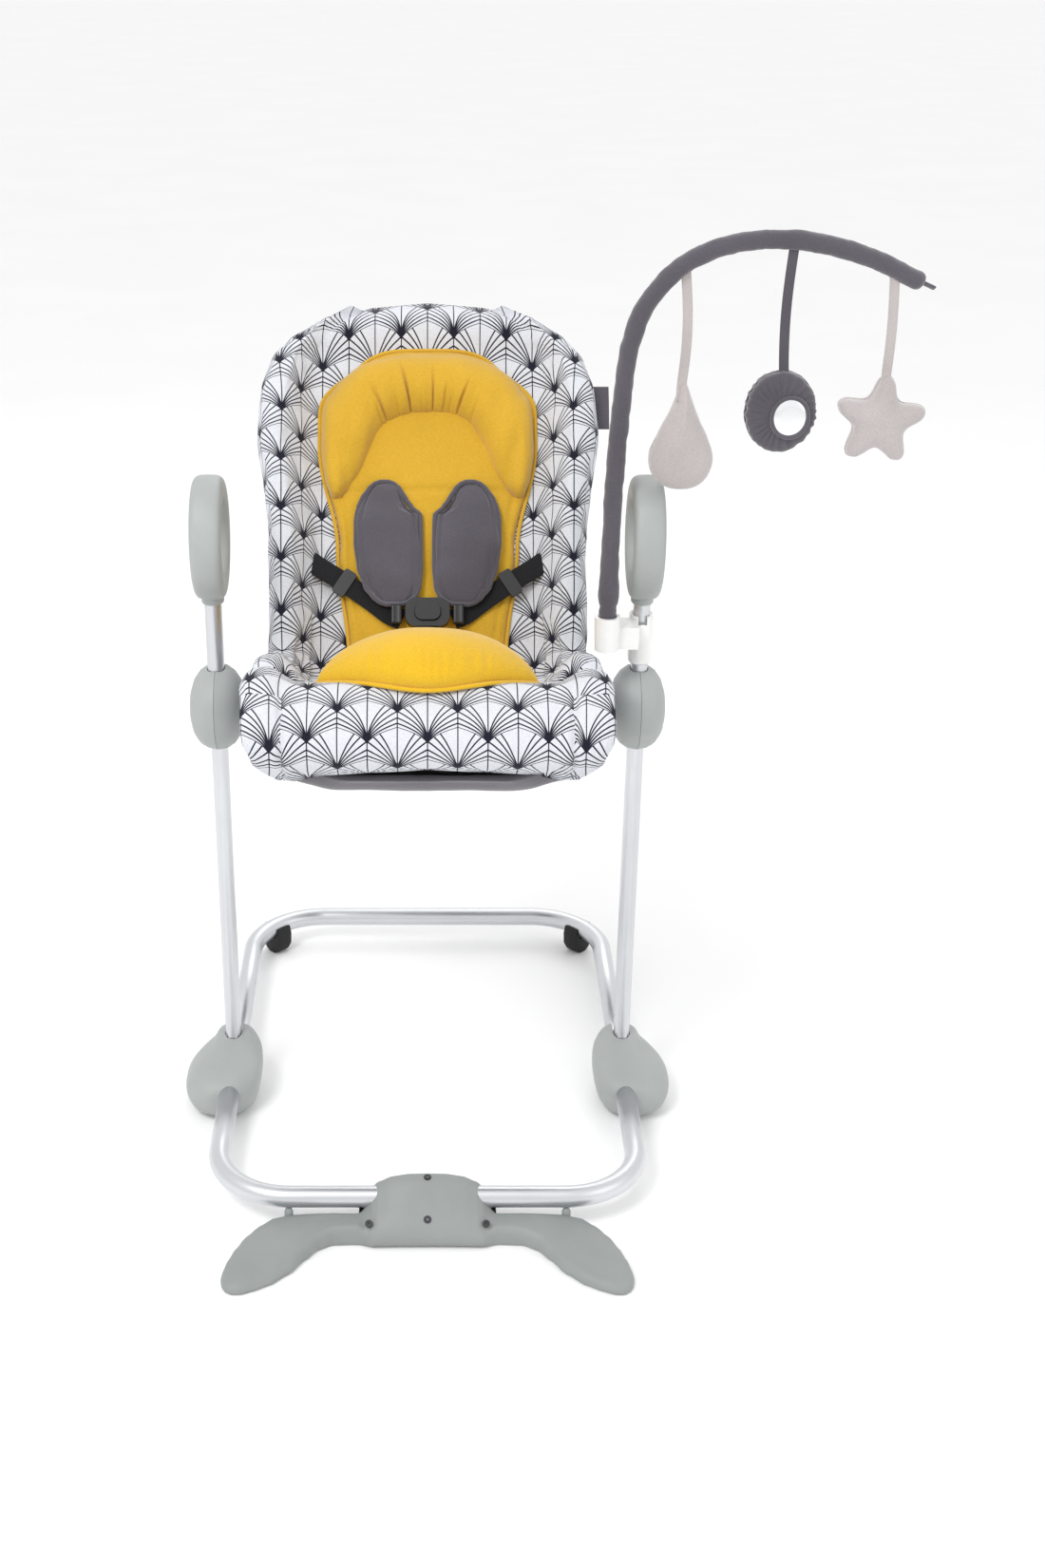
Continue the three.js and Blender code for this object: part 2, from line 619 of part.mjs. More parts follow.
function addCarriage() {
  addPair('housing_outer', outerShell(), GREY_PLASTIC);
  addPair('housing_inner', innerShell(), GREY_PLASTIC);
  addPair('release_trigger', trigger(), WHITE_PLASTIC);
  addPair('latch_pin', latchPin(), STEEL);
}

// ---------------------------------------------------------------- seat surface

// Side view of the seat's surface from the front lip to the head end: y and z from the recline axis.
const SEAT_LINE = [
  [-212, 8], [-236, 52], [-195, 94], [-135, 76], [-68, 36], [-5, 8], [46, 26],
  [82, 82], [165, 206], [245, 324], [290, 392],
];
const fromPivot = ([y, z]) => point(0, UPRIGHT_Y + y, PIVOT_Z + z);
const seatCurve = new THREE.CatmullRomCurve3(SEAT_LINE.map(fromPivot));
const SEAT_LENGTH = seatCurve.getLength();

// Share of the seat's length, from the lip, and the half width there.
const SEAT_WIDTHS = [
  [0, 142], [0.04, 182], [0.1, 199], [0.16, 201], [0.2, 196], [0.25, 186], [0.6, 186], [0.66, 187],
  [0.72, 193], [0.8, 202], [0.88, 199], [0.93, 187], [0.96, 167], [0.99, 133], [1, 105],
];

function lookUp(table, t) {
  const next = max(1, table.findIndex(([at]) => at >= t));
  const [a, b] = [table[next - 1], table[next]];
  return mix(a[1], b[1], smooth(a[0], b[0], t) * 0.5 + 0.5 * ((t - a[0]) / (b[0] - a[0])));
}

const seatWidth = (t) => lookUp(SEAT_WIDTHS, t);

// A point at share t along the seat, x across it and n above its surface.
function seatPoint(t, x, n) {
  const clamped = min(max(t, 0), 1);
  const at = seatCurve.getPointAt(clamped);
  const along = seatCurve.getTangentAt(clamped);
  at.addScaledVector(along, (t - clamped) * SEAT_LENGTH);
  return point(x, at.y - along.z * n, at.z + along.y * n);
}

// Half a section of the cover from the middle outwards: share of the half width, and height of the
// top and of the bottom above the seat surface, where the side roll is fully raised.
const COVER_SECTION = [
  [0, 0, -COVER_THICKNESS], [0.69, 0, -COVER_THICKNESS], [0.78, 22, 2], [0.86, 45, 25], [0.93, 48, 30],
  [0.98, 34, 16], [1, 8, 2],
];

const rollHeight = (t) => 0.12 + 0.88 * smooth(0.1, 0.3, t) * (1 - 0.55 * smooth(0.85, 1, t));

function coverSheet(surface) {
  return (u, v) => {
    const side = 2 * u - 1;
    const spot = abs(side) * (COVER_SECTION.length - 1);
    const i = min(Math.floor(spot), COVER_SECTION.length - 2);
    const [a, b] = [COVER_SECTION[i], COVER_SECTION[i + 1]];
    const column = surface === 'top' ? 1 : 2;
    const flat = surface === 'top' ? 0 : -COVER_THICKNESS;
    const raised = mix(a[column], b[column], spot - i);
    const n = mix(flat, raised, rollHeight(v));
    const inset = surface === 'top' ? 0 : 5 * smooth(0.8, 1, abs(side));
    return seatPoint(v, Math.sign(side) * (mix(a[0], b[0], spot - i) * seatWidth(v) - inset), n);
  };
}

const hubRoom = (radius) => rodX(radius, 120, 240, UPRIGHT_Y, PIVOT_Z, 20);

function seatCover() {
  const sheet = slab(2 * (COVER_SECTION.length - 1), 18, coverSheet('top'), coverSheet('bottom'));
  return cut(sheet, hubRoom(BOSS_RADIUS + 3), mirrored(hubRoom(BOSS_RADIUS + 3)));
}

// The back and underside panel, with its own line in side view.
const UNDER_LINE = [
  [-206, -4], [-180, -22], [-120, -30], [-40, -44], [30, -40], [84, 4], [140, 84], [225, 208],
  [306, 328], [322, 366],
];
const underCurve = new THREE.CatmullRomCurve3(UNDER_LINE.map(fromPivot));

function underPanel() {
  const surface = (depth) => (u, v) => {
    const side = 2 * u - 1;
    const at = underCurve.getPointAt(v);
    const along = underCurve.getTangentAt(v);
    const n = 16 * smooth(0.7, 1, abs(side)) - depth;
    return point(side * 0.9 * seatWidth(v), at.y - along.z * n, at.z + along.y * n);
  };
  return slab(8, 12, surface(0), surface(4));
}

// ---------------------------------------------------------------- seat frame

const FRAME_RADIUS = 7;
const FRAME_X = 176;
const FRAME_LINE = [
  [0, -190, 40], [110, -190, 40], [158, -168, 30], [FRAME_X, -105, 10], [FRAME_X, 0, 0],
  [FRAME_X, 62, 24], [172, 98, 84], [168, 170, 188], [166, 234, 284], [128, 288, 350], [0, 296, 358],
];

function seatFrame() {
  const half = FRAME_LINE.map(([x, y, z]) => point(x, UPRIGHT_Y + y, PIVOT_Z + z));
  const other = half.slice(1, -1).reverse().map((p) => point(-p.x, p.y, p.z));
  const path = new THREE.CatmullRomCurve3([...half, ...other], true, 'catmullrom', 0.4);
  const steps = 40;
  const frames = path.computeFrenetFrames(steps, true);
  const rings = series(steps, (i) => {
    const centre = path.getPointAt(i / steps);
    return series(6, (k) => {
      const turn = (2 * PI * k) / 6;
      return centre.clone().addScaledVector(frames.normals[i], FRAME_RADIUS * cos(turn))
        .addScaledVector(frames.binormals[i], FRAME_RADIUS * sin(turn));
    });
  });
  return loft(rings, true);
}

// A boss that turns in the inner housing, against the outside of the seat frame.
function reclineHub() {
  const boss = rodX(BOSS_RADIUS, FRAME_X + FRAME_RADIUS + 1, HALF_WIDTH - 13, UPRIGHT_Y, PIVOT_Z, 20);
  const flange = rodX(BOSS_RADIUS + 5, HALF_WIDTH - 21, HALF_WIDTH - 14, UPRIGHT_Y, PIVOT_Z, 20);
  return join(boss, flange);
}

// ---------------------------------------------------------------- soft seat pieces

// A pad between two heights whose outline is given by its half width across the seat.
function seatPad(from, to, halfWidth, low, high, nu = 10, nv = 12) {
  const spot = (u, v, lift) => {
    const side = 2 * u - 1;
    return seatPoint(mix(from, to, v), side * halfWidth(v), lift(side, v));
  };
  return slab(nu, nv, (u, v) => spot(u, v, high), (u, v) => spot(u, v, low));
}

const crown = (side, v, power = 0.6) => max(1 - side * side, 0) ** power * (4 * v * (1 - v)) ** power;

const INSERT = { from: 0.295, to: 0.942, low: 4, high: 14 };

function insert() {
  const width = (v) =>
    93 + 14 * smooth(0.3, 0.55, v) + 23 * smooth(0.55, 0.8, v) - 55 * smooth(0.86, 1.02, v) ** 2;
  const high = (side, v) => INSERT.low + 3 + (INSERT.high - INSERT.low - 3) * crown(side, v, 0.25);
  return seatPad(INSERT.from, INSERT.to, width, () => INSERT.low, high, 6, 14);
}

// A horseshoe round the head, thick in the middle of its width.
function headBolster() {
  const steps = 18;
  const spread = radians(100);
  const rings = series(steps + 1, (i) => {
    const angle = mix(-spread, spread, i / steps);
    const half = mix(11, 36, cos((angle * PI) / 2 / spread) ** 0.6);
    const rise = 4 + 10 * cos((angle * PI) / 2 / spread) ** 0.5;
    return series(8, (k) => {
      const turn = (2 * PI * k) / 8;
      const outwards = half * cos(turn);
      const t = 0.762 + 0.126 * cos(angle) + (outwards / SEAT_LENGTH) * cos(angle);
      const x = (113 + outwards) * sin(angle);
      return seatPoint(t, x, INSERT.high + 0.6 + rise * (1 + sin(turn)));
    });
  });
  return loft(rings);
}

function frontCushion() {
  const rows = (v) => 118 * sqrt(max(1 - 0.82 * v ** 2.4, 0));
  const low = () => 3;
  const high = (side, v) => 6 + 60 * crown(side, v * 0.97 + 0.015, 0.5);
  return seatPad(0.15, 0.285, rows, low, high, 10, 8);
}

function shoulderPad() {
  const base = INSERT.high + 5;
  const middle = 46;
  const half = (v) => 37 * (4 * (0.03 + 0.94 * v) * (0.97 - 0.94 * v)) ** 0.3;
  const spot = (u, v, n) => seatPoint(mix(0.58, 0.75, v), middle + (2 * u - 1) * half(v), n);
  const high = (u, v) => base + 3 + 10 * crown(2 * u - 1, v, 0.4);
  return slab(6, 8, (u, v) => spot(u, v, high(u, v)), (u, v) => spot(u, v, base));
}

// A flat strap through points given as share along the seat, x and height.
function seatStrap(stations, width = STRAP_WIDTH) {
  const centres = stations.map(([t, x, n]) => seatPoint(t, x, n));
  const rings = centres.map((centre, i) => {
    const ahead = centres[min(i + 1, centres.length - 1)].clone();
    const along = ahead.sub(centres[max(i - 1, 0)]).normalize();
    const [t, x, n] = stations[i];
    const up = seatPoint(t, x, n + 1).sub(centre).normalize();
    const across = along.clone().cross(up).normalize();
    const lift = across.clone().cross(along).normalize();
    const corner = (a, b) => centre.clone().addScaledVector(across, (a * width) / 2)
      .addScaledVector(lift, (b * STRAP_THICKNESS) / 2);
    return [corner(-1, -1), corner(1, -1), corner(1, 1), corner(-1, 1)];
  });
  return loft(rings);
}

const STRAP_N = INSERT.high + 2.4;
const BUCKLE = { t: 0.541, n: INSERT.high + 15 };
const SLIDER = { t: 0.587, x: 98, n: STRAP_N + 4, turn: radians(33) };

const shoulderStrap = () => seatStrap([[0.74, 46, STRAP_N], [0.6, 46, STRAP_N], [0.572, 38, STRAP_N + 2],
  [0.563, 31, STRAP_N + 4]], 14);

const waistStrap = () => seatStrap([[0.612, 130, SLIDER.n], [SLIDER.t, SLIDER.x, SLIDER.n],
  [0.56, 66, STRAP_N + 1], [0.54, 44, STRAP_N + 4], [0.533, 33, BUCKLE.n - 6]], 22);

const crotchStrap = () =>
  seatStrap(series(9, (i) => [mix(0.405, 0.517, i / 8), 0, mix(STRAP_N + 1, STRAP_N + 3, i / 8)]));

function placedOnSeat(geometry, t, x, n, turn = 0) {
  const origin = seatPoint(t, x, n);
  const up = seatPoint(t, x, n + 1).sub(origin).normalize();
  const along = up.clone().cross(point(1, 0, 0)).normalize();
  geometry.rotateZ(turn);
  const basis = new THREE.Matrix4().makeBasis(point(1, 0, 0), along, up);
  return geometry.applyMatrix4(basis).translate(origin.x, origin.y, origin.z);
}

// A plate in the XY plane with rounded corners, centred on the origin.
function plate(halfX, halfY, corner, thickness) {
  const shape = new THREE.Shape();
  const [x, y] = [halfX - corner, halfY - corner];
  shape.absarc(x, y, corner, 0, PI / 2, false);
  shape.absarc(-x, y, corner, PI / 2, PI, false);
  shape.absarc(-x, -y, corner, PI, 1.5 * PI, false);
  shape.absarc(x, -y, corner, 1.5 * PI, 2 * PI, false);
  const options = { depth: thickness, bevelEnabled: false, curveSegments: 4 };
  const flat = new THREE.ExtrudeGeometry(shape, options);
  return flat.translate(0, 0, -thickness / 2);
}

const BUTTON = { x: 15, y: 10, thickness: 5 };

function buckleShell() {
  const well = plate(BUTTON.x + 0.5, BUTTON.y + 0.5, BUTTON.y - 1, 9).translate(0, 0, 6);
  return placedOnSeat(cut(plate(26, 17, 12, 13), well), BUCKLE.t, 0, BUCKLE.n);
}

function buckleButton() {
  const button = plate(BUTTON.x, BUTTON.y, BUTTON.y - 1, BUTTON.thickness).translate(0, 0, 7.6);
  return placedOnSeat(button, BUCKLE.t, 0, BUCKLE.n);
}

function waistSlider() {
  const slot = block([-9, 9], [-13.5, 13.5], [-1.5, 1.5]);
  const body = cut(plate(8, 16, 3, 7), slot);
  return placedOnSeat(body, SLIDER.t, SLIDER.x, SLIDER.n, SLIDER.turn);
}

function sideTag() {
  const surface = (n) => (u, v) => seatPoint(mix(0.82, 0.885, v), seatWidth(0.85) + 2 + 16 * u, n);
  return slab(2, 2, surface(18.8), surface(17.2));
}

function addSeat() {
  add('seat_frame', seatFrame(), STEEL);
  addPair('recline_hub', reclineHub(), GREY_PLASTIC);
  add('seat_cover', seatCover(), PATTERNED);
  add('back_panel', underPanel(), DARK_FABRIC);
  add('seat_insert', insert(), YELLOW);
  add('head_bolster', headBolster(), YELLOW);
  add('front_cushion', frontCushion(), YELLOW);
  addPair('shoulder_pad', shoulderPad(), DARK_FABRIC);
  addPair('shoulder_strap', shoulderStrap(), WEBBING);
  addPair('waist_strap', waistStrap(), WEBBING);
  addPair('waist_slider', waistSlider(), BLACK_PLASTIC);
  add('crotch_strap', crotchStrap(), WEBBING);
  add('buckle', buckleShell(), BLACK_PLASTIC);
  add('buckle_button', buckleButton(), BLACK_PLASTIC);
  add('side_tag', sideTag(), DARK_FABRIC);
}

// ---------------------------------------------------------------- toy arch

// x and z of the arch's centreline from its socket to its tip.
const ARCH_LINE = [
  [ARCH_X, CLAMP.socketLow + 6], [ARCH_X, 661], [202.5, 720], [204.5, 823], [208.8, 896], [213.9, 948],
  [225, 986.5], [242, 1013.5], [265, 1035.5], [300.5, 1054], [350, 1062.5], [401.5, 1060], [456, 1046],
  [519.5, 1018],
];

const archCurve = new THREE.CatmullRomCurve3(ARCH_LINE.map(([x, z]) => point(x, ARCH_Y, z)));

const archSleeve = () =>
  sweep(series(23, (i) => archCurve.getPointAt(i / 22)), roundShape(ARCH_RADIUS, 10));

function archTip() {
  const end = archCurve.getPointAt(1);
  const along = archCurve.getTangentAt(1);
  return aimed(rodY(4.5, 0.4, 12, 8).scale(1, 1, 0.45), end, along);
}

const TOYS = {
  drop: { x: 269.5, low: 798, high: 914 },
  ring: { x: 380.5, low: 840, high: 926.5 },
  star: { x: 487.5, low: 828, high: 923.5 },
};
const TOY_STRAP = { half: 5, thickness: 1.4 };

const archHeight = (x) => {
  const spots = series(200, (i) => archCurve.getPointAt(i / 199)).filter((p) => p.z > 980);
  return spots.reduce((best, p) => (abs(p.x - x) < abs(best.x - x) ? p : best)).z;
};

// A loop of webbing's two layers, drawn as one strap from the sleeve to the toy.
function toyStrap(toy) {
  const top = archHeight(toy.x) - ARCH_RADIUS - 8;
  const { half, thickness } = TOY_STRAP;
  const depths = [ARCH_Y - thickness, ARCH_Y + thickness];
  return block([toy.x - half, toy.x + half], depths, [toy.high - 14, top]);
}

// A stuffed body from an outline in the XZ plane, crowned to both sides.
function stuffed(outline, depth, layers = 3) {
  const total = outline.reduce((sum, [x, z]) => [sum[0] + x, sum[1] + z], [0, 0]);
  const centre = total.map((sum) => sum / outline.length);
  const rings = series(2 * layers + 1, (i) => {
    const level = (i - layers) / (layers + 0.35);
    const shrink = sqrt(1 - level * level);
    return outline.map(([x, z]) =>
      point(mix(centre[0], x, shrink), ARCH_Y + (depth / 2) * level, mix(centre[1], z, shrink)));
  });
  return loft(rings);
}

function dropToy() {
  const { x, low, high } = TOYS.drop;
  const belly = 35;
  const outline = series(18, (i) => {
    const angle = (2 * PI * i) / 18;
    const level = (1 + cos(angle)) / 2;
    const width = belly * mix(1, 0.36, smooth(-0.2, 1, cos(angle)));
    const rise = mix(low + belly, high, (smooth(0, 1, level) + level) / 2);
    return [x + 6 + width * sin(angle), rise - belly * max(0, -cos(angle))];
  });
  return join(stuffed(outline, 44), toyStrap(TOYS.drop));
}

function ringToy() {
  const { x, low, high } = TOYS.ring;
  const middle = (low + high) / 2;
  const radius = (high - low) / 2;
  const rim = roundOutline(x, middle, radius * 0.86, radius);
  const well = new THREE.CylinderGeometry(20, 20, 30, 20).translate(x + 6, ARCH_Y - 22, middle);
  return cut(join(stuffed(rim, 34), toyStrap(TOYS.ring)), well);
}

const roundOutline = (x, z, halfX, halfZ) => series(20, (i) => {
  const angle = (2 * PI * i) / 20;
  return [x + halfX * sin(angle), z + halfZ * cos(angle)];
});

function mirrorDisc() {
  const { x, low, high } = TOYS.ring;
  return new THREE.CylinderGeometry(19, 19, 3, 24).translate(x + 6, ARCH_Y - 9, (low + high) / 2);
}

function starToy() {
  const { x, low, high } = TOYS.star;
  const middle = (low + high) / 2 - 4;
  const outline = series(20, (i) => {
    const angle = (2 * PI * i) / 20 + radians(6);
    const radius = [50, 41, 29, 41][i % 4];
    return [x + radius * sin(angle), middle + radius * cos(angle)];
  });
  return join(stuffed(outline, 34), toyStrap(TOYS.star));
}

function addArch() {
  add('arch_sleeve', archSleeve(), DARK_FABRIC);
  add('arch_tip', archTip(), DARK_FABRIC);
  add('toy_drop', dropToy(), WARM_GREY);
  add('toy_ring', ringToy(), DARK_FABRIC);
  add('toy_mirror', mirrorDisc(), MIRROR);
  add('toy_star', starToy(), WARM_GREY);
}

addBase();
addStand();
addCarriage();
addSeat();
addArch();

export default bouncer;
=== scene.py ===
"""Looks of the height-adjustable bouncer seat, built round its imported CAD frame.

Tables and local sizes are in millimetres, in the CAD frame: +Z up, +X to the right of someone
who faces the seat, +Y towards its back. mesh_object() turns them into metres.
"""

import math

import bpy
import numpy as np
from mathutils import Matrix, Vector, noise


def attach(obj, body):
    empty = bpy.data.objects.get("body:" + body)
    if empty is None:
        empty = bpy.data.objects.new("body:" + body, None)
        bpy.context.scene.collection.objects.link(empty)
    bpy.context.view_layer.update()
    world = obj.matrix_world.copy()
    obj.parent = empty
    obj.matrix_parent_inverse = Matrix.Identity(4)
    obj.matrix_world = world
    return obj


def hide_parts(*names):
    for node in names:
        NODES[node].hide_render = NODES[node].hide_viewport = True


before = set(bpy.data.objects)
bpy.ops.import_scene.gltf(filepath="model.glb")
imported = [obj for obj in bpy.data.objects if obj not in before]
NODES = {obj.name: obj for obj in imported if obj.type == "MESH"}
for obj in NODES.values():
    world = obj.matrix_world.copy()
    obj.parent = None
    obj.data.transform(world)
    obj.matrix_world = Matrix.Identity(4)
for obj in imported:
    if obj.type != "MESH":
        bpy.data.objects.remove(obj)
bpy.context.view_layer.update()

MM = 0.001

# Driving dimensions, the same as those of the CAD.
HALF_WIDTH = 245
UPRIGHT_Y = 286.5
REAR_Y = 667.5
HOOP_Z = 38.5
HOOP_RADIUS = 12.5
PIVOT_Z = 524.5
ARCH_Y = UPRIGHT_Y - 40
ARCH_RADIUS = 10.3

# The photograph's point of view, and the studio, in metres, degrees and watts.
CAMERA_AT = (0, -1.8205, 1.389)
CAMERA_DOWN = 24.6
CAMERA_LENS = 44.68
CAMERA_SHIFT = 0.0606
STUDIO_MIDDLE = (0.1, 0.3, 0.6)
FLOOR_REACH = 60


# ------------------------------------------------------------------ camera, light and floor

def add_camera():
    data = bpy.data.cameras.new("camera")
    data.sensor_width = 36
    data.lens = CAMERA_LENS
    data.shift_x = CAMERA_SHIFT
    camera = bpy.data.objects.new("camera", data)
    camera.location = CAMERA_AT
    camera.rotation_euler = (math.radians(90 - CAMERA_DOWN), 0, 0)
    bpy.context.scene.collection.objects.link(camera)
    bpy.context.scene.camera = camera


def add_light(name, location, size, watts):
    data = bpy.data.lights.new(name, "AREA")
    data.shape = "DISK"
    data.size = size
    data.energy = watts
    light = bpy.data.objects.new(name, data)
    light.location = location
    aim = Vector(STUDIO_MIDDLE) - Vector(location)
    light.rotation_euler = aim.to_track_quat("-Z", "Y").to_euler()
    bpy.context.scene.collection.objects.link(light)


def add_studio():
    bpy.context.scene.view_settings.view_transform = "Standard"
    world = bpy.data.worlds.new("studio")
    bpy.context.scene.world = world
    world.use_nodes = True
    background = world.node_tree.nodes["Background"]
    background.inputs["Color"].default_value = (1, 1, 1, 1)
    background.inputs["Strength"].default_value = 0.97
    add_light("key", (-1.3, -1.5, 3.0), 1.2, 46)
    add_light("fill", (2.3, -1.2, 1.8), 2.2, 8)
    add_light("back", (0.4, 2.4, 2.3), 1.6, 10)


def add_floor():
    s = Surface("floor", Specular_IOR_Level=0.2)
    tone = s.blend(s.fit(s.noise(s.place(), 2, 3), 0.3, 0.7), (0.95, 0.95, 0.95, 1), (0.97, 0.97, 0.97, 1))
    material = s.finish(tone, 0.8, s.bump(s.noise(s.place(), 60, 3), 0.0001, 0.3))
    data = bpy.data.meshes.new("floor")
    corners = [(x * FLOOR_REACH, y * FLOOR_REACH, 0) for x, y in ((-1, -1), (1, -1), (1, 1), (-1, 1))]
    data.from_pydata(corners, [], [(0, 1, 2, 3)])
    data.materials.append(material)
    floor = bpy.data.objects.new("floor", data)
    bpy.context.scene.collection.objects.link(floor)


# ------------------------------------------------------------------ curves and meshes

def smooth(low, high, value):
    t = np.clip((np.asarray(value, float) - low) / (high - low), 0, 1)
    return t * t * (3 - 2 * t)


def mix(a, b, t):
    return a + (b - a) * t


def turns(count):
    """The angles of points spread evenly round a circle."""
    return np.linspace(0, 2 * math.pi, count, endpoint=False)


class Line:
    """A centripetal Catmull-Rom curve through points, measured along its length."""

    def __init__(self, points, samples=40):
        p = np.asarray(points, float)
        p = np.vstack([2 * p[0] - p[1], p, 2 * p[-1] - p[-2]])
        weight = np.linspace(0, 1, samples, endpoint=False)[:, None]
        found = []
        for a, b, c, d in zip(p, p[1:], p[2:], p[3:]):
            d0, d1, d2 = (max(np.sum((q - r) ** 2) ** 0.25, 1e-4) for q, r in ((b, a), (c, b), (d, c)))
            start = ((b - a) / d0 - (c - a) / (d0 + d1) + (c - b) / d1) * d1
            end = ((c - b) / d1 - (d - b) / (d1 + d2) + (d - c) / d2) * d1
            square = -3 * b + 3 * c - 2 * start - end
            cube = 2 * b - 2 * c + start + end
            found.append(b + start * weight + square * weight ** 2 + cube * weight ** 3)
        self.points = np.vstack(found + [p[-2][None]])
        steps = np.linalg.norm(np.diff(self.points, axis=0), axis=1)
        self.at = np.concatenate([[0], np.cumsum(steps)])
        self.length = self.at[-1]

    def spot(self, t):
        s = np.clip(t, 0, 1) * self.length
        return np.stack([np.interp(s, self.at, column) for column in self.points.T], -1)

    def along(self, t):
        t = np.clip(t, 0, 1)
        step = self.spot(t + 0.004) - self.spot(t - 0.004)
        return step / np.linalg.norm(step, axis=-1, keepdims=True)


def look_up(table, t):
    """Interpolates a table of (at, value) rows with eased steps."""
    rows = np.asarray(table, float)
    t = np.asarray(t, float)
    i = np.clip(np.searchsorted(rows[:, 0], t) - 1, 0, len(rows) - 2)
    share = np.clip((t - rows[i, 0]) / (rows[i + 1, 0] - rows[i, 0]), 0, 1)
    eased = 0.5 * share + 0.5 * share * share * (3 - 2 * share)
    return rows[i, 1] + (rows[i + 1, 1] - rows[i, 1]) * eased


def mesh_object(name, part, body, material, *stands_for):
    """A smooth mesh of points and faces on a CAD body, in the place of the CAD nodes named."""
    data = bpy.data.meshes.new(name)
    data.from_pydata((np.asarray(part[0], float) * MM).tolist(), [], part[1])
    data.validate()
    data.polygons.foreach_set("use_smooth", [True] * len(data.polygons))
    data.materials.append(M[material])
    obj = bpy.data.objects.new(name, data)
    bpy.context.scene.collection.objects.link(obj)
    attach(obj, body)
    if stands_for:
        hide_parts(*stands_for)
    return obj


def loft(rings, closed=False):
    """Points and faces of a body through rings, with a fan over each end unless it is closed."""
    rings = np.asarray(rings, float)
    count, around = rings.shape[:2]
    points = rings.reshape(-1, 3)
    faces = []
    for i in range(count if closed else count - 1):
        a, b = i * around, ((i + 1) % count) * around
        for j in range(around):
            k = (j + 1) % around
            faces.append((a + j, a + k, b + k, b + j))
    if not closed:
        middles = np.stack([rings[0].mean(0), rings[-1].mean(0)])
        points = np.vstack([points, middles])
        first, last = count * around, count * around + 1
        base = (count - 1) * around
        for j in range(around):
            k = (j + 1) % around
            faces.append((first, k, j))
            faces.append((last, base + j, base + k))
    return points, faces


def shell(top, bottom):
    """A closed body between two grids of points whose edges meet through side walls."""
    rows, cols = top.shape[:2]
    rings = np.concatenate([top, bottom[:, ::-1]], axis=1)
    around = 2 * cols
    points = rings.reshape(-1, 3)
    faces = []
    for i in range(rows - 1):
        a, b = i * around, (i + 1) * around
        for j in range(around):
            k = (j + 1) % around
            faces.append((a + j, a + k, b + k, b + j))
    last = (rows - 1) * around
    for j in range(cols - 1):
        low, high = 2 * cols - 1 - j, 2 * cols - 2 - j
        faces.append((j, low, high, j + 1))
        faces.append((last + j, last + j + 1, last + high, last + low))
    return points, faces


def tube(path, radius, sides, closed=False):
    """Rings round a path, with a radius given as a number or as one for each point."""
    path = np.asarray(path, float)
    if closed:
        ahead = np.roll(path, -1, 0) - np.roll(path, 1, 0)
    else:
        ahead = np.gradient(path, axis=0)
    ahead /= np.linalg.norm(ahead, axis=1, keepdims=True)
    radii = np.broadcast_to(radius, len(path))
    reference = np.array([0, 0, 1.0]) if abs(ahead[0][2]) < 0.9 else np.array([0, 1.0, 0])
    side = np.cross(ahead[0], reference)
    rings = []
    for point, direction, r in zip(path, ahead, radii):
        side = side - direction * np.dot(side, direction)
        side /= np.linalg.norm(side)
        lift = np.cross(side, direction)
        turn = turns(sides)[:, None]
        rings.append(point + r * (np.cos(turn) * side + np.sin(turn) * lift))
    return loft(rings, closed)


def joined(*parts):
    """One set of points and faces out of several."""
    points, faces, base = [], [], 0
    for p, f in parts:
        points.append(np.asarray(p, float))
        faces.extend(tuple(i + base for i in face) for face in f)
        base += len(p)
    return np.vstack(points), faces


def mirrored(part):
    points, faces = part
    return np.asarray(points) * (-1, 1, 1), [tuple(reversed(face)) for face in faces]


def unchanged(part):
    return part


SIDES = (("right", unchanged), ("left", mirrored))


def coords(obj):
    flat = np.zeros(len(obj.data.vertices) * 3, np.float32)
    obj.data.vertices.foreach_get("co", flat)
    return flat.reshape(-1, 3).astype(float)


def set_coords(obj, points):
    obj.data.vertices.foreach_set("co", np.asarray(points, np.float32).ravel())
    obj.data.update()


def normals(obj):
    flat = np.zeros(len(obj.data.vertices) * 3, np.float32)
    obj.data.vertex_normals.foreach_get("vector", flat)
    return flat.reshape(-1, 3).astype(float)


def raise_surface(obj, heights):
    """Moves each point along its normal by its own height in millimetres."""
    set_coords(obj, coords(obj) + normals(obj) * (np.asarray(heights) * MM)[:, None])


def wrinkle(obj, height, size, stretch=(1, 1, 1), seed=0.0, share=1.0):
    """Soft folds: noise of the given size and height, which may be stretched along an axis."""
    spots = coords(obj) / MM / size / np.asarray(stretch, float) + seed
    value = np.array([noise.noise(Vector(s)) for s in spots])
    raise_surface(obj, height * value * share)


CLOTH_STIFFNESS = 12.0


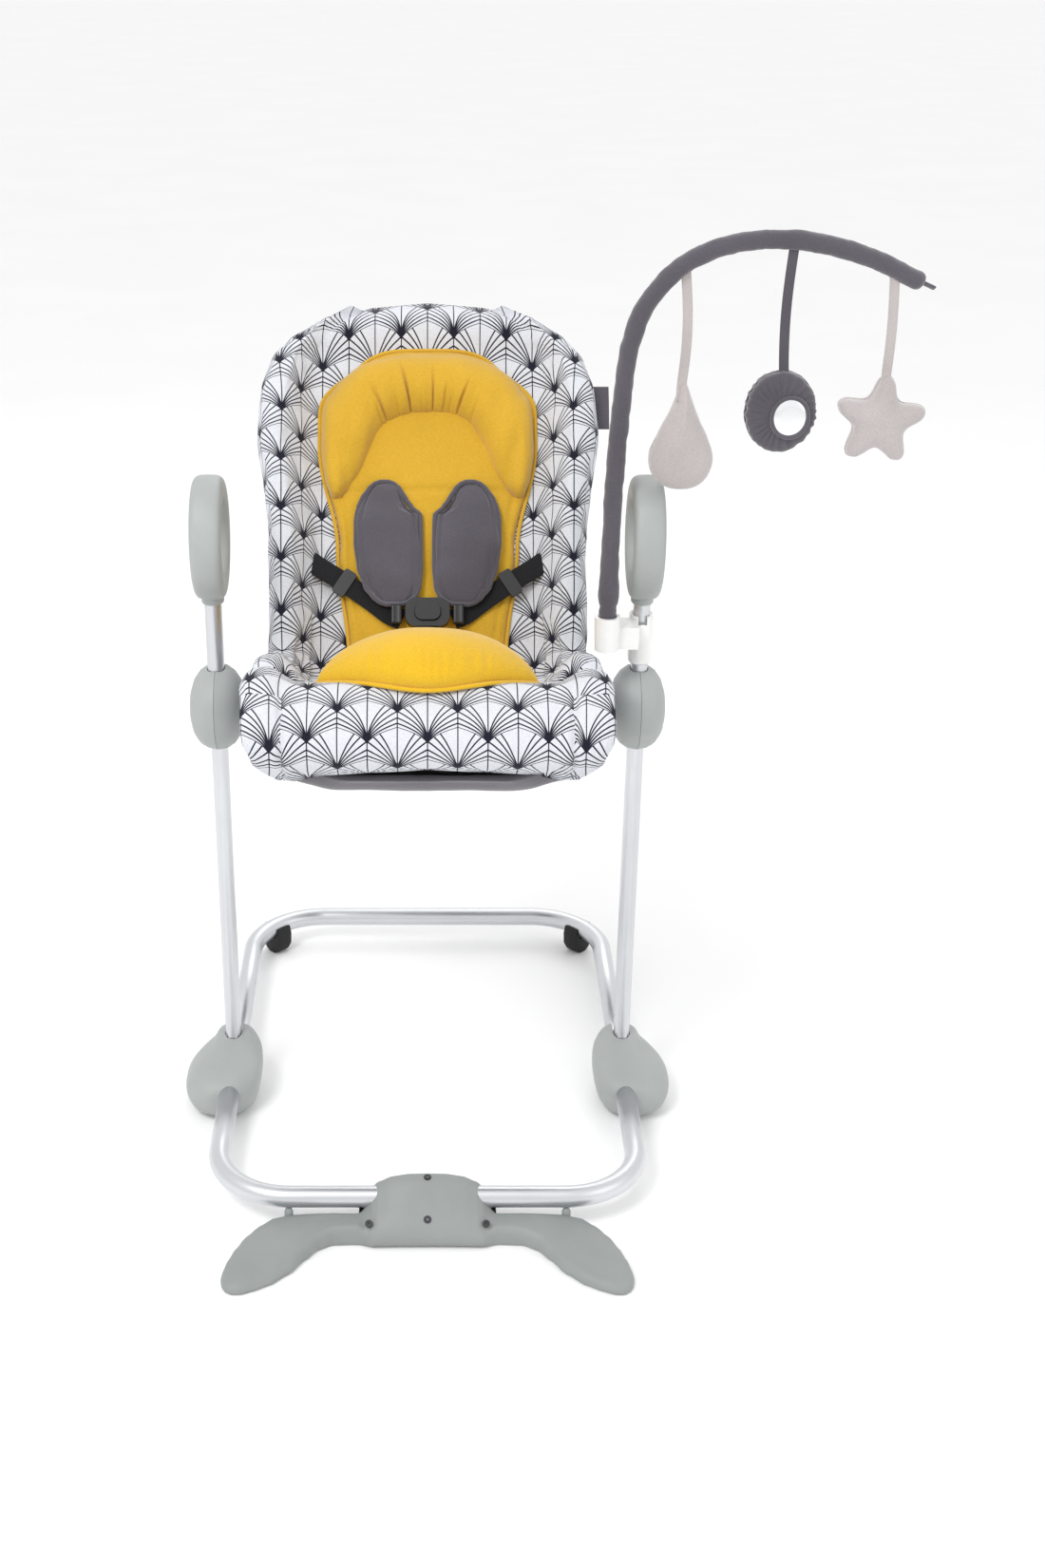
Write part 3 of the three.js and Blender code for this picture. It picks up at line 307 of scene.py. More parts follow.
def inflate(obj, cap, pressure, frames=20):
    """Lets the cloth swell like a filled cover, with no point moving further than cap millimetres."""
    rest = coords(obj)
    modifier = obj.modifiers.new("cloth", "CLOTH")
    settings = modifier.settings
    settings.quality = 5
    settings.mass = 0.3
    settings.use_pressure = True
    settings.uniform_pressure_force = pressure
    settings.effector_weights.gravity = 0
    settings.tension_stiffness = CLOTH_STIFFNESS
    settings.compression_stiffness = CLOTH_STIFFNESS
    settings.shear_stiffness = CLOTH_STIFFNESS / 2
    settings.bending_stiffness = 0.4
    modifier.collision_settings.use_self_collision = False
    modifier.point_cache.frame_start = 1
    modifier.point_cache.frame_end = frames
    scene = bpy.context.scene
    for at in range(1, frames + 1):
        scene.frame_set(at)
    evaluated = obj.evaluated_get(bpy.context.evaluated_depsgraph_get())
    flat = np.zeros(len(rest) * 3, np.float32)
    evaluated.data.vertices.foreach_get("co", flat)
    obj.modifiers.remove(modifier)
    scene.frame_set(1)
    move = flat.reshape(-1, 3) - rest
    length = np.linalg.norm(move, axis=1, keepdims=True)
    keep = np.minimum(1, cap * MM / np.maximum(length, 1e-9))
    set_coords(obj, rest + move * keep)


# ------------------------------------------------------------------ materials

class Surface:
    """A material and short names for the nodes it is built of."""

    def __init__(self, name, **sockets):
        self.material = bpy.data.materials.new(name)
        self.material.use_nodes = True
        self.tree = self.material.node_tree
        self.shader = self.tree.nodes["Principled BSDF"]
        for socket, value in sockets.items():
            self.shader.inputs[socket.replace("_", " ")].default_value = value

    def node(self, kind, **settings):
        made = self.tree.nodes.new(kind)
        for key, value in settings.items():
            setattr(made, key, value)
        return made

    def feed(self, socket, value):
        if isinstance(value, bpy.types.NodeSocket):
            self.tree.links.new(value, socket)
        else:
            socket.default_value = value

    def math(self, operation, a, b=0.0, clamp=False):
        made = self.node("ShaderNodeMath", operation=operation, use_clamp=clamp)
        self.feed(made.inputs[0], a)
        self.feed(made.inputs[1], b)
        return made.outputs[0]

    def place(self, kind="Object"):
        return self.node("ShaderNodeTexCoord").outputs[kind]

    def axes(self, vector):
        made = self.node("ShaderNodeSeparateXYZ")
        self.feed(made.inputs[0], vector)
        return made.outputs[0], made.outputs[1], made.outputs[2]

    def scaled(self, vector, scale):
        made = self.node("ShaderNodeMapping")
        self.feed(made.inputs["Vector"], vector)
        made.inputs["Scale"].default_value = scale
        return made.outputs[0]

    def noise(self, vector, scale, detail=2.0, roughness=0.5):
        made = self.node("ShaderNodeTexNoise")
        self.feed(made.inputs["Vector"], vector)
        made.inputs["Scale"].default_value = scale
        made.inputs["Detail"].default_value = detail
        made.inputs["Roughness"].default_value = roughness
        return made.outputs[0]

    def fit(self, value, low, high, to_low=0.0, to_high=1.0):
        made = self.node("ShaderNodeMapRange")
        for socket, v in zip(made.inputs, (value, low, high, to_low, to_high)):
            self.feed(socket, v)
        return made.outputs[0]

    def blend(self, share, a, b):
        made = self.node("ShaderNodeMix", data_type="RGBA")
        for socket, value in zip((made.inputs[0], made.inputs[6], made.inputs[7]), (share, a, b)):
            self.feed(socket, value)
        return made.outputs[2]

    def bump(self, height, distance, strength=1.0, normal=None):
        made = self.node("ShaderNodeBump")
        made.inputs["Strength"].default_value = strength
        made.inputs["Distance"].default_value = distance
        self.feed(made.inputs["Height"], height)
        if normal is not None:
            self.feed(made.inputs["Normal"], normal)
        return made.outputs[0]

    def finish(self, colour, roughness, normal):
        self.feed(self.shader.inputs["Base Color"], colour)
        self.feed(self.shader.inputs["Roughness"], roughness)
        self.feed(self.shader.inputs["Normal"], normal)
        return self.material


def shade(colour, factor):
    """A colour made lighter or darker."""
    return tuple(min(1.0, c * factor) for c in colour[:3]) + (1,)


def weave_height(s, pitch):
    """Threads that cross in three directions, so that they show on a surface of any facing."""
    x, y, z = s.axes(s.place())
    turn = 2 * math.pi / pitch
    waves = [s.math("SINE", s.math("MULTIPLY", axis, turn)) for axis in (x, y, z)]
    cross = s.math("MULTIPLY", waves[0], s.math("ADD", waves[1], waves[2]))
    return s.math("MULTIPLY", cross, 0.25)


def cloth(name, colour, pitch=0.0011, sheen=0.25, roughness=0.88, mottle=0.10, relief=0.00022,
          pattern=None):
    """Woven or knitted cloth with threads, fine fuzz and slightly uneven dye."""
    s = Surface(name, Sheen_Weight=sheen, Sheen_Roughness=0.5, Specular_IOR_Level=0.25)
    place = s.place()
    uneven = s.noise(place, 9, 4)
    fuzz = s.noise(place, 700, 2)
    threads = weave_height(s, pitch)
    base = pattern(s) if pattern else s.blend(s.fit(uneven, 0.3, 0.7), shade(colour, 1 - mottle),
                                              shade(colour, 1 + mottle))
    dark = s.blend(s.fit(fuzz, 0.35, 0.75, 0, 0.18), base, (0, 0, 0, 1))
    rough = s.fit(fuzz, 0.3, 0.7, roughness - 0.05, min(1, roughness + 0.05))
    height = s.math("ADD", threads, s.math("MULTIPLY", fuzz, 0.5))
    soft = s.bump(s.noise(place, 28, 3), 0.0012, 0.5)
    return s.finish(dark, rough, s.bump(height, relief, 0.7, soft))


def plastic(name, colour, roughness=0.5, coat=0.0, grain=0.00006):
    """Moulded plastic: fine spark texture, faint flow marks and handling polish."""
    s = Surface(name, Specular_IOR_Level=0.5, Coat_Weight=coat, Coat_Roughness=0.25)
    place = s.place()
    marks = s.noise(place, 12, 5, 0.6)
    spark = s.noise(place, 2200, 1)
    smear = s.noise(s.scaled(place, (1, 1, 0.25)), 40, 3)
    base = s.blend(s.fit(marks, 0.3, 0.7), shade(colour, 0.94), shade(colour, 1.05))
    rough = s.math("ADD", s.fit(smear, 0.3, 0.7, -0.05, 0.05), roughness)
    return s.finish(base, rough, s.bump(spark, grain, 0.6))


def metal(name, colour, roughness):
    """Metal with fine lines along its tube and a slightly cloudy finish."""
    s = Surface(name, Metallic=1.0)
    place = s.place()
    cloud = s.noise(place, 6, 4)
    lines = s.noise(s.scaled(place, (1, 1, 0.03)), 900, 2)
    base = s.blend(s.fit(cloud, 0.3, 0.7), shade(colour, 0.93), shade(colour, 1.04))
    rough = s.math("ADD", s.fit(lines, 0.3, 0.7, -0.06, 0.06), roughness)
    return s.finish(base, rough, s.bump(lines, 0.00003, 0.5))


# The printed pattern, in metres: fans stand in rows, each between the stems of the row below.
FAN_WIDTH = 0.0635
FAN_RISE = 0.031
# A fan's ribs are powers of the distance from its stem, each FAN_STEP steeper than the last.
FAN_POWER = 0.52
FAN_STEP = 0.235
FAN_OUTERMOST = 0.56
FAN_LINE = (0.0005, 0.0008)
INK = (0.008, 0.008, 0.02, 1)
CLOTH_WHITE = (0.69, 0.705, 0.75, 1)


def fan_print(s):
    """White cloth printed with rows of fans, drawn from the cloth's own flat coordinates."""
    u, v, _ = s.axes(s.place("UV"))
    columns = s.math("DIVIDE", u, FAN_WIDTH / 2)
    column = s.math("FLOOR", columns)
    inside = s.math("SUBTRACT", columns, column)
    odd = s.math("FLOORED_MODULO", column, 2.0)
    flipped = s.math("SUBTRACT", 1.0, inside)
    x = pick(s, odd, inside, flipped)
    y = s.math("FLOORED_MODULO", s.math("DIVIDE", v, FAN_RISE), 2.0)
    far = s.math("SUBTRACT", 1.0, x)
    low_edge = s.math("MULTIPLY", s.math("POWER", x, FAN_POWER), FAN_OUTERMOST)
    high_edge = s.math("MULTIPLY_ADD", s.math("POWER", far, FAN_POWER), FAN_OUTERMOST)
    high_edge.node.inputs[2].default_value = 1.0
    below = s.math("LESS_THAN", y, low_edge)
    above = s.math("GREATER_THAN", y, high_edge)
    other = s.math("MAXIMUM", below, above)
    x = s.math("MAXIMUM", pick(s, other, x, far), 0.004)
    y = s.math("ADD", y, s.math("SUBTRACT", below, above))
    y = s.math("MAXIMUM", y, 0.01)
    return s.blend(fan_ink(s, x, y), CLOTH_WHITE, INK)


def pick(s, switch, off, on):
    """off where switch is 0 and on where it is 1."""
    made = s.node("ShaderNodeMix", data_type="FLOAT")
    s.feed(made.inputs[0], switch)
    s.feed(made.inputs[2], off)
    s.feed(made.inputs[3], on)
    return made.outputs[0]


def fan_ink(s, x, y):
    """1 on the lines of one fan: x from its stem to the next, y upwards from its focus."""
    lift = s.math("DIVIDE", y, s.math("MULTIPLY", s.math("POWER", x, FAN_POWER), FAN_OUTERMOST))
    index = s.math("DIVIDE", s.math("LOGARITHM", lift, math.e), FAN_STEP)
    nearest = s.math("MINIMUM", s.math("ROUND", index), 5.0)
    offset = s.math("ABSOLUTE", s.math("SUBTRACT", index, nearest))
    rise = s.math("DIVIDE", 1 / FAN_RISE, y)
    run = s.math("DIVIDE", FAN_POWER * 2 / FAN_WIDTH, x)
    slope = s.math("SQRT", s.math("ADD", s.math("POWER", rise, 2.0), s.math("POWER", run, 2.0)))
    distance = s.math("DIVIDE", s.math("MULTIPLY", offset, FAN_STEP), slope)
    lines = s.fit(distance, 0.0006, 0.0009, 1, 0)
    stem = s.fit(s.math("MULTIPLY", x, FAN_WIDTH / 2), *FAN_LINE, 1, 0)
    far_stem = s.fit(s.math("MULTIPLY", s.math("SUBTRACT", 1.0, x), FAN_WIDTH / 2), *FAN_LINE, 1, 0)
    spread = s.math("DIVIDE", x, 0.105)
    level = s.math("DIVIDE", s.math("ABSOLUTE", s.math("SUBTRACT", y, 0.12)), 0.3)
    focus = s.fit(s.math("ADD", spread, level), 0.9, 1.05, 1, 0)
    strokes = s.math("MAXIMUM", lines, s.math("MAXIMUM", stem, far_stem))
    return s.math("MAXIMUM", strokes, focus, clamp=True)


def add_materials():
    return {
        "aluminium": metal("aluminium", (0.66, 0.67, 0.69), 0.36),
        "steel": metal("steel", (0.30, 0.31, 0.32), 0.34),
        "screw": metal("screw_steel", (0.06, 0.06, 0.065), 0.4),
        "grey": plastic("grey_plastic", (0.355, 0.375, 0.37), 0.52),
        "foot": plastic("foot_plastic", (0.27, 0.29, 0.285), 0.55),
        "white": plastic("white_plastic", (0.83, 0.83, 0.82), 0.32, 0.3),
        "black": plastic("black_plastic", (0.012, 0.012, 0.014), 0.42),
        "rubber": plastic("rubber", (0.012, 0.012, 0.012), 0.8, 0, 0.0001),
        "fans": cloth("patterned_fabric", (0.8, 0.8, 0.86), pattern=fan_print, sheen=0.1),
        "dark": cloth("dark_fabric", (0.088, 0.08, 0.098), sheen=0.5, mottle=0.14),
        "lining": cloth("dark_lining", (0.086, 0.078, 0.094), pitch=0.0016, sheen=0.3),
        "yellow": cloth("yellow_fabric", (0.66, 0.385, 0.026), sheen=0.35, mottle=0.06),
        "bright": cloth("yellow_cushion", (0.74, 0.44, 0.012), sheen=0.35, mottle=0.05),
        "webbing": cloth("webbing", (0.011, 0.011, 0.013), pitch=0.0022, relief=0.0005, sheen=0.15),
        "plush": cloth("toy_plush", (0.47, 0.43, 0.425), pitch=0.0014, sheen=0.8, relief=0.0004),
        "mirror": metal("mirror", (0.93, 0.94, 0.96), 0.06),
    }


M = add_materials()


# ------------------------------------------------------------------ seat surface

# Side view of the seat's surface from its front lip to its head end: y and z from the pivot.
SEAT_LINE = [
    (-212, 8), (-236, 52), (-195, 94), (-135, 76), (-68, 36), (-5, 8), (46, 26),
    (82, 82), (165, 206), (245, 324), (290, 392),
]
# Half width at shares of the seat's length.
SEAT_WIDTHS = [
    (0, 166), (0.03, 188), (0.07, 198), (0.1, 200), (0.16, 201), (0.2, 196), (0.25, 186), (0.6, 186),
    (0.66, 187), (0.72, 193), (0.8, 202), (0.88, 199), (0.93, 187), (0.96, 167), (0.99, 133), (1, 105),
]
# The cover's section from its middle to its edge and back underneath: share of the half width,
# height where the side roll is raised, and height where it is flat.
ROLL = [
    (0, 0, 0), (0.4, 0, 0), (0.6, 1, 0), (0.69, 5, 0), (0.76, 19, 0), (0.82, 36, 0), (0.88, 47, 0),
    (0.93, 48, -0.5), (0.97, 39, -2), (0.995, 24, -5), (1, 9, -9), (0.975, 4, -12), (0.94, 20, -14),
    (0.86, 21, -14), (0.78, 0, -14), (0.69, -12, -14), (0.4, -14, -14), (0, -14, -14),
]
# The section's middle lies this far under the seat's surface.
COVER_MIDDLE = -7
# The printed cloth ends here on the underside, counted in points of the section.
LINING_FROM = 45
LIP_SEAM_X = 155
FOLD_T = 0.195

seat = Line([(UPRIGHT_Y + y, PIVOT_Z + z) for y, z in SEAT_LINE])


def seat_point(t, x, n):
    """The point at share t along the seat, x across it and n above its surface."""
    t, x, n = np.broadcast_arrays(*(np.asarray(v, float) for v in (t, x, n)))
    clamped = np.clip(t, 0, 1)
    at, along = seat.spot(clamped), seat.along(clamped)
    at = at + along * ((t - clamped) * seat.length)[..., None]
    return np.stack([x, at[..., 0] - along[..., 1] * n, at[..., 1] + along[..., 0] * n], -1)


def roll_height(t):
    """How far the side rolls are raised, from flat (0) to full (1)."""
    return 0.12 + 0.88 * smooth(0.1, 0.3, t) * (1 - 0.55 * smooth(0.85, 1, t))


def cover_loop():
    """The whole section: share of half width, raised height and flat height, closed."""
    half = Line(ROLL, 12).spot(np.linspace(0, 1, 74))
    other = half[1:-1][::-1] * (-1, 1, 1)
    return np.vstack([half, other])


def cover_rings():
    """The sections along the seat, with rounded ends, and the shares of the length they stand at."""
    loop = cover_loop()
    share, raised, flat = loop.T
    stations = [(t, 1.0) for t in np.linspace(0, 1, 170)]
    ends = [math.sin(a) for a in np.linspace(1.45, 0.35, 4)]
    before = [(-0.008 * (1 - e), e) for e in reversed(ends)]
    after = [(1 + 0.008 * (1 - e), e) for e in ends]
    rings = []
    for t, thickness in before + stations + after:
        width = look_up(SEAT_WIDTHS, np.clip(t, 0, 1))
        lift = roll_height(t)
        n = mix(flat, raised, lift)
        raised_middle = COVER_MIDDLE + np.interp(np.abs(share), (0.7, 0.9), (0, 22))
        centre = mix(COVER_MIDDLE, raised_middle, lift)
        n = mix(centre, n, thickness)
        x = share * width
        n = n + lip_relief(t, x, n) + head_roll(t, share) * smooth(-12, -6, n)
        rings.append(seat_point(t + head_bow(t, share), x, n))
    return np.array(rings), np.array([t for t, _ in before + stations + after])


def head_bow(t, share):
    """How far the head end arches beyond the seat's length."""
    return 0.022 * smooth(0.88, 1, t) * (1 - share ** 2)


def head_roll(t, share):
    """The cover is stuffed across its head end as well, above the insert."""
    along = smooth(0.925, 0.972, t) * (1 - smooth(0.975, 1.01, t))
    return 19 * along * (1 - smooth(0.62, 0.85, np.abs(share)))


def lip_relief(t, x, n):
    """Seams that pull in across the lip, and the fold where the side rolls tuck in behind it."""
    top = smooth(-10, -4, n)
    front = 1 - smooth(0.12, 0.16, t)
    seam = -3.2 * np.exp(-((np.abs(x) - LIP_SEAM_X) / 5) ** 2) * front
    puff = 4 * np.exp(-((t - 0.07) / 0.06) ** 2)
    fold = -11 * np.exp(-((t - FOLD_T) / 0.011) ** 2) * smooth(95, 140, np.abs(x))
    return top * (seam + puff + fold)


def cover_uvs(obj, rings, stations):
    """Flat coordinates in metres: across from the middle and along from the lip."""
    count, around = rings.shape[:2]
    steps = np.linalg.norm(np.roll(rings, -1, 1) - rings, axis=2)
    half = (around + 2) // 2
    right = np.concatenate([np.zeros((count, 1)), np.cumsum(steps[:, :half - 1], 1)], 1)
    left = -np.cumsum(steps[:, half:][:, ::-1], 1)[:, ::-1]
    across = np.concatenate([right, left], 1)
    along = np.broadcast_to((stations * seat.length)[:, None], across.shape)
    flat = np.stack([across, along], -1).reshape(-1, 2) * MM
    flat = np.vstack([flat, np.zeros((2, 2))])
    layer = obj.data.uv_layers.new(name="print")
    values = np.zeros((len(obj.data.loops), 2))
    for face in obj.data.polygons:
        corners = list(face.vertices)
        spots = flat[corners].copy()
        middle = spots.mean(0)
        if abs(middle[0]) > LIP_SEAM_X * MM and middle[1] < 0.125 * seat.length * MM:
            spots = spots + (math.copysign(0.021, middle[0]), 0.019)
        elif middle[1] < FOLD_T * seat.length * MM:
            spots = spots + (0, 0.012)
        for i, spot in zip(face.loop_indices, spots):
            values[i] = spot
    layer.data.foreach_set("uv", values.ravel())


def add_cover():
    rings, stations = cover_rings()
    cover = mesh_object("seat_cover_cloth", loft(rings), "seat", "fans", "seat_cover")
    cover_uvs(cover, rings, stations)
    cover.data.materials.append(M["lining"])
    around = rings.shape[1]
    for face in cover.data.polygons:
        spot = min(face.vertices) % around
        face.material_index = int(LINING_FROM < spot < around - LINING_FROM)
    inflate(cover, 5, 2.0, frames=14)
    wrinkle(cover, 2.2, 60, (1, 1, 1.6), 3.1)
    wrinkle(cover, 0.9, 24, (1.5, 1, 1), 7.7)


# ------------------------------------------------------------------ back panel

# Side view of the panel's outside, from the lip to the head end: y and z from the pivot.
UNDER_LINE = [
    (-206, -4), (-180, -22), (-120, -30), (-40, -44), (30, -40), (84, 4), (140, 84), (225, 208),
    (306, 328), (322, 366),
]
# Half width that the panel keeps to beside the uprights, so that the seat reclines past them.
PANEL_WAIST = 184.5
# Share of the back panel's length against the share of the seat's length that lies over it.
PANEL_MATCH = [(0, 0), (0.124, 0.235), (0.233, 0.35), (0.33, 0.43), (0.42, 0.475), (0.55, 0.585),
               (0.75, 0.765), (0.945, 0.95), (1, 1)]


def waisted(x, t, wall):
    """Lets the side walls bulge, but holds them to the waist beside the uprights."""
    beside = smooth(0.17, 0.24, t) * (1 - smooth(0.74, 0.8, t))
    full = np.abs(x) + 56 * beside * (wall * (1 - wall))
    return np.sign(x) * mix(full, np.minimum(full, PANEL_WAIST), beside)


def add_back_panel():
    """The dark shell under the seat, whose sides and head end rise to the edge of the cover."""
    under = Line([(UPRIGHT_Y + y, PIVOT_Z + z) for y, z in UNDER_LINE])
    rows, cols = 150, 81
    v = np.broadcast_to(np.linspace(0, 1, rows)[:, None], (rows, cols))
    side = np.broadcast_to(np.linspace(-1, 1, cols)[None, :], (rows, cols))
    t = np.interp(v, *np.array(PANEL_MATCH).T)
    width = look_up(SEAT_WIDTHS, t)
    at, along = under.spot(v), under.along(v)
    edge = seat_point(t + head_bow(t, side), 0.985 * side * width, mix(-12, 1.5, roll_height(t)))
    wall = np.maximum(smooth(0.8, 1, np.abs(side)), smooth(0.94, 1, v))[..., None]

    def surface(depth):
        lift = 14 * (1 - 0.7 * smooth(0.75, 0.95, v))
        n = 8 * smooth(0.07, 0, v) + lift * smooth(0.5, 0.9, np.abs(side)) - depth
        x = side * (0.94 * width + 8 * smooth(0.06, 0, v))
        low = np.stack([x, at[..., 0] - along[..., 1] * n, at[..., 1] + along[..., 0] * n], -1)
        found = mix(low, edge, wall * (1 - 0.03 * (depth > 0)))
        found[..., 0] = waisted(found[..., 0], t, wall[..., 0])
        return found

    part = shell(surface(0), surface(6))
    panel = mesh_object("back_panel_cloth", part, "seat", "dark", "back_panel")
    wrinkle(panel, 1.6, 70, (1.2, 1, 1), 11.3)
    wrinkle(panel, 0.6, 22, (1, 1, 1), 4.2)


# The steel tube inside the seat, from the middle of its front to the middle of its head end.
FRAME_LINE = [
    (0, -190, 36), (110, -190, 36), (146, -170, 28), (160, -105, 8), (164, 0, 0), (163, 62, 24),
    (160, 98, 84), (157, 170, 190), (150, 232, 284), (116, 274, 338), (0, 284, 348),
]


def add_seat_frame():
    half = Line([(x, UPRIGHT_Y + y, PIVOT_Z + z) for x, y, z in FRAME_LINE], 12).points
    other = half[1:-1][::-1] * (-1, 1, 1)
    path = np.vstack([half, other])
    mesh_object("seat_frame_tube", tube(path, 5.5, 16, closed=True), "seat", "steel", "seat_frame")


# ------------------------------------------------------------------ insert, bolster and cushion

INSERT_FROM, INSERT_TO = 0.295, 0.942
SEAM_T = 0.728


def insert_width(v):
    """Half width of the insert at share v of its length."""
    return (93 + 14 * smooth(0.3, 0.55, v) + 23 * smooth(0.55, 0.8, v)
            - 55 * smooth(0.86, 1.02, v) ** 2)


def insert_end(side):
    """The head end of the insert is an arch, highest in the middle."""
    return INSERT_TO + 0.004 - 0.024 * np.asarray(side, float) ** 4


def crown(side, v, power):
    """Height of a stuffed pad, 0 on its edges and 1 in its middle; a low power is a flat top."""
    return np.maximum(1 - side * side, 0) ** power * np.maximum(4 * v * (1 - v), 0) ** power


def insert_rim(n, count=90):
    """The outline of the insert at height n, all the way round."""
    v = np.linspace(0, 1, count)
    t = mix(INSERT_FROM, insert_end(1), v)
    right = seat_point(t, insert_width(v), n)
    across = np.linspace(1, -1, 40)[1:-1]
    top = seat_point(insert_end(across), across * insert_width(1.0), n)
    left = seat_point(t[::-1], -insert_width(v[::-1]), n)
    bottom = seat_point(INSERT_FROM, -across * insert_width(0.0), n)
    return np.vstack([right, top, left, bottom])


def add_insert():
    v = np.linspace(0, 1, 150)[:, None]
    side = np.linspace(-1, 1, 81)[None, :]
    t = mix(INSERT_FROM, insert_end(side), v)
    width = insert_width(v)
    groove = 2.6 * np.exp(-((t - SEAM_T) * seat.length / 3.5) ** 2)
    border = 2.2 * np.exp(-((np.abs(side) * width - width + 14) / 2.5) ** 2) * (1 - smooth(0.72, 0.75, t))
    high = 6 + 9 * crown(side, v, 0.25) - groove - border
    top = seat_point(t, side * width, high)
    bottom = seat_point(t, side * width, 3)
    pad = mesh_object("seat_insert_cloth", shell(top, bottom), "seat", "yellow", "seat_insert")
    inflate(pad, 3, 1.5)
    wrinkle(pad, 1.6, 38, (1, 1, 1.4), 1.9)
    wrinkle(pad, 0.5, 13, (1.6, 1, 1), 5.5)
    mesh_object("insert_piping", tube(insert_rim(8), 2.4, 10, closed=True), "seat", "yellow")


# Right half of the head bolster, from its middle to its end: x and share of the seat's length.
BOLSTER_INNER = [(0, 0.846), (26, 0.843), (50, 0.829), (66, 0.80), (80, 0.757), (96, 0.730), (107, 0.718)]
BOLSTER_OUTER = [(0, 0.937), (48, 0.934), (88, 0.915), (114, 0.882), (126, 0.845), (128, 0.80),
                 (125, 0.755), (118, 0.728), (111, 0.716)]
BOLSTER_LENGTH = 520
# Creases that start at the inner seam: place along the whole bolster, lean, reach, depth and width.
CREASES = [
    (0.275, -0.06, 0.65, 12, 3.2), (0.253, -0.05, 0.45, 7, 2.6), (0.41, -0.035, 0.9, 12, 3.0),
    (0.53, -0.005, 0.75, 8, 2.4), (0.585, 0.025, 0.45, 7, 2.4), (0.66, 0.07, 0.6, 10, 2.8),
    (0.47, 0.0, 0.3, 3, 2.2), (0.62, 0.03, 0.3, 3, 2.2), (0.345, -0.03, 0.35, 3.5, 2.6),
    (0.74, 0.03, 0.4, 4, 3.0),
]


def add_bolster():
    stations, around = 260, 34
    s = np.linspace(-1, 1, stations)
    inner, outer = Line(BOLSTER_INNER).spot(np.abs(s)), Line(BOLSTER_OUTER).spot(np.abs(s))
    sign = np.sign(s)
    w = np.linspace(0, 1, around)
    end = np.clip(1 - np.abs(s) ** 6, 0, 1) ** 0.5
    rings = []
    for i in range(stations):
        x = mix(inner[i, 0], outer[i, 0], w) * sign[i]
        t = mix(inner[i, 1], outer[i, 1], w)
        dome = np.clip(1 - np.abs(2 * w - 1) ** 2.3, 0, 1) ** 0.62
        reach = (1 - w) ** 1.3
        place = (s[i] + 1) / 2
        crease = sum(
            depth * np.exp(-((place - at - lean * w) * BOLSTER_LENGTH / width) ** 2)
            * np.clip((far - w) / far, 0, 1) for at, lean, far, depth, width in CREASES)
        scallop = 1.2 * np.sin(place * 62) * reach
        high = 13 + 27 * dome * end[i] - (crease + scallop) * dome ** 0.5 * end[i]
        ring_top = seat_point(t, x, high)
        ring_low = seat_point(t, x, 10)
        rings.append(np.vstack([ring_top, ring_low[1:-1][::-1]]))
    pad = mesh_object("head_bolster_cloth", loft(rings), "seat", "yellow", "head_bolster")
    inflate(pad, 3.5, 2.0)
    wrinkle(pad, 1.4, 30, (1, 1, 1), 2.2)


def add_front_cushion():
    v = np.linspace(0, 1, 80)[:, None]
    side = np.linspace(-1, 1, 101)[None, :]
    half = 121 * np.sqrt(np.maximum(1 - 0.80 * v ** 2.4, 0))
    t = mix(0.136, 0.288, v) + 0.07 * (1 - v) ** 1.5 * side ** 2
    high = 5 + 59 * crown(side, v * 0.985 + 0.008, 0.52)
    uneven = 0.4 + 0.6 * np.sin(side * 7 + 1.3) ** 2
    gather = 1.5 * uneven * np.sin(side * 62 + 3 * np.sin(side * 9)) * np.exp(-((v - 0.03) / 0.07) ** 2)
    top = seat_point(t, side * half, high + gather)
    bottom = seat_point(t, side * half, 3)
    pad = mesh_object("front_cushion_cloth", shell(top, bottom), "seat", "bright", "front_cushion")
    inflate(pad, 5, 3.0)
    wrinkle(pad, 1.6, 45, (1.3, 1, 1), 8.8)
    edge = seat_point(0.136 + 0.07 * side[0] ** 2, side[0] * 121, 5.0)
    mesh_object("front_cushion_piping", tube(edge, 2.6, 10), "seat", "bright")


# ------------------------------------------------------------------ harness

# Right shoulder pad from its lower end to its top: place, inner x and outer x.
PAD_EDGES = [
    (0, 31, 49), (0.02, 22, 57), (0.06, 14.5, 64), (0.14, 10, 73), (0.3, 8, 81), (0.5, 8, 85),
    (0.68, 8.5, 85), (0.73, 9, 84), (0.79, 19, 82), (0.86, 26, 78), (0.94, 33, 70), (0.98, 39, 64),
    (1, 46, 56),
]


def pad_outline(v):
    inner = look_up([(a, b) for a, b, _ in PAD_EDGES], v)
    outer = look_up([(a, c) for a, _, c in PAD_EDGES], v)
    return inner, outer


def pad_point(v, side, n):
    inner, outer = pad_outline(v)
    x = mix(inner, outer, (side + 1) / 2)
    curl = 7 * (1 - v) ** 2 + 3 * np.abs(side) ** 3
    return seat_point(mix(0.553, 0.738, v), x, n + curl - 3)


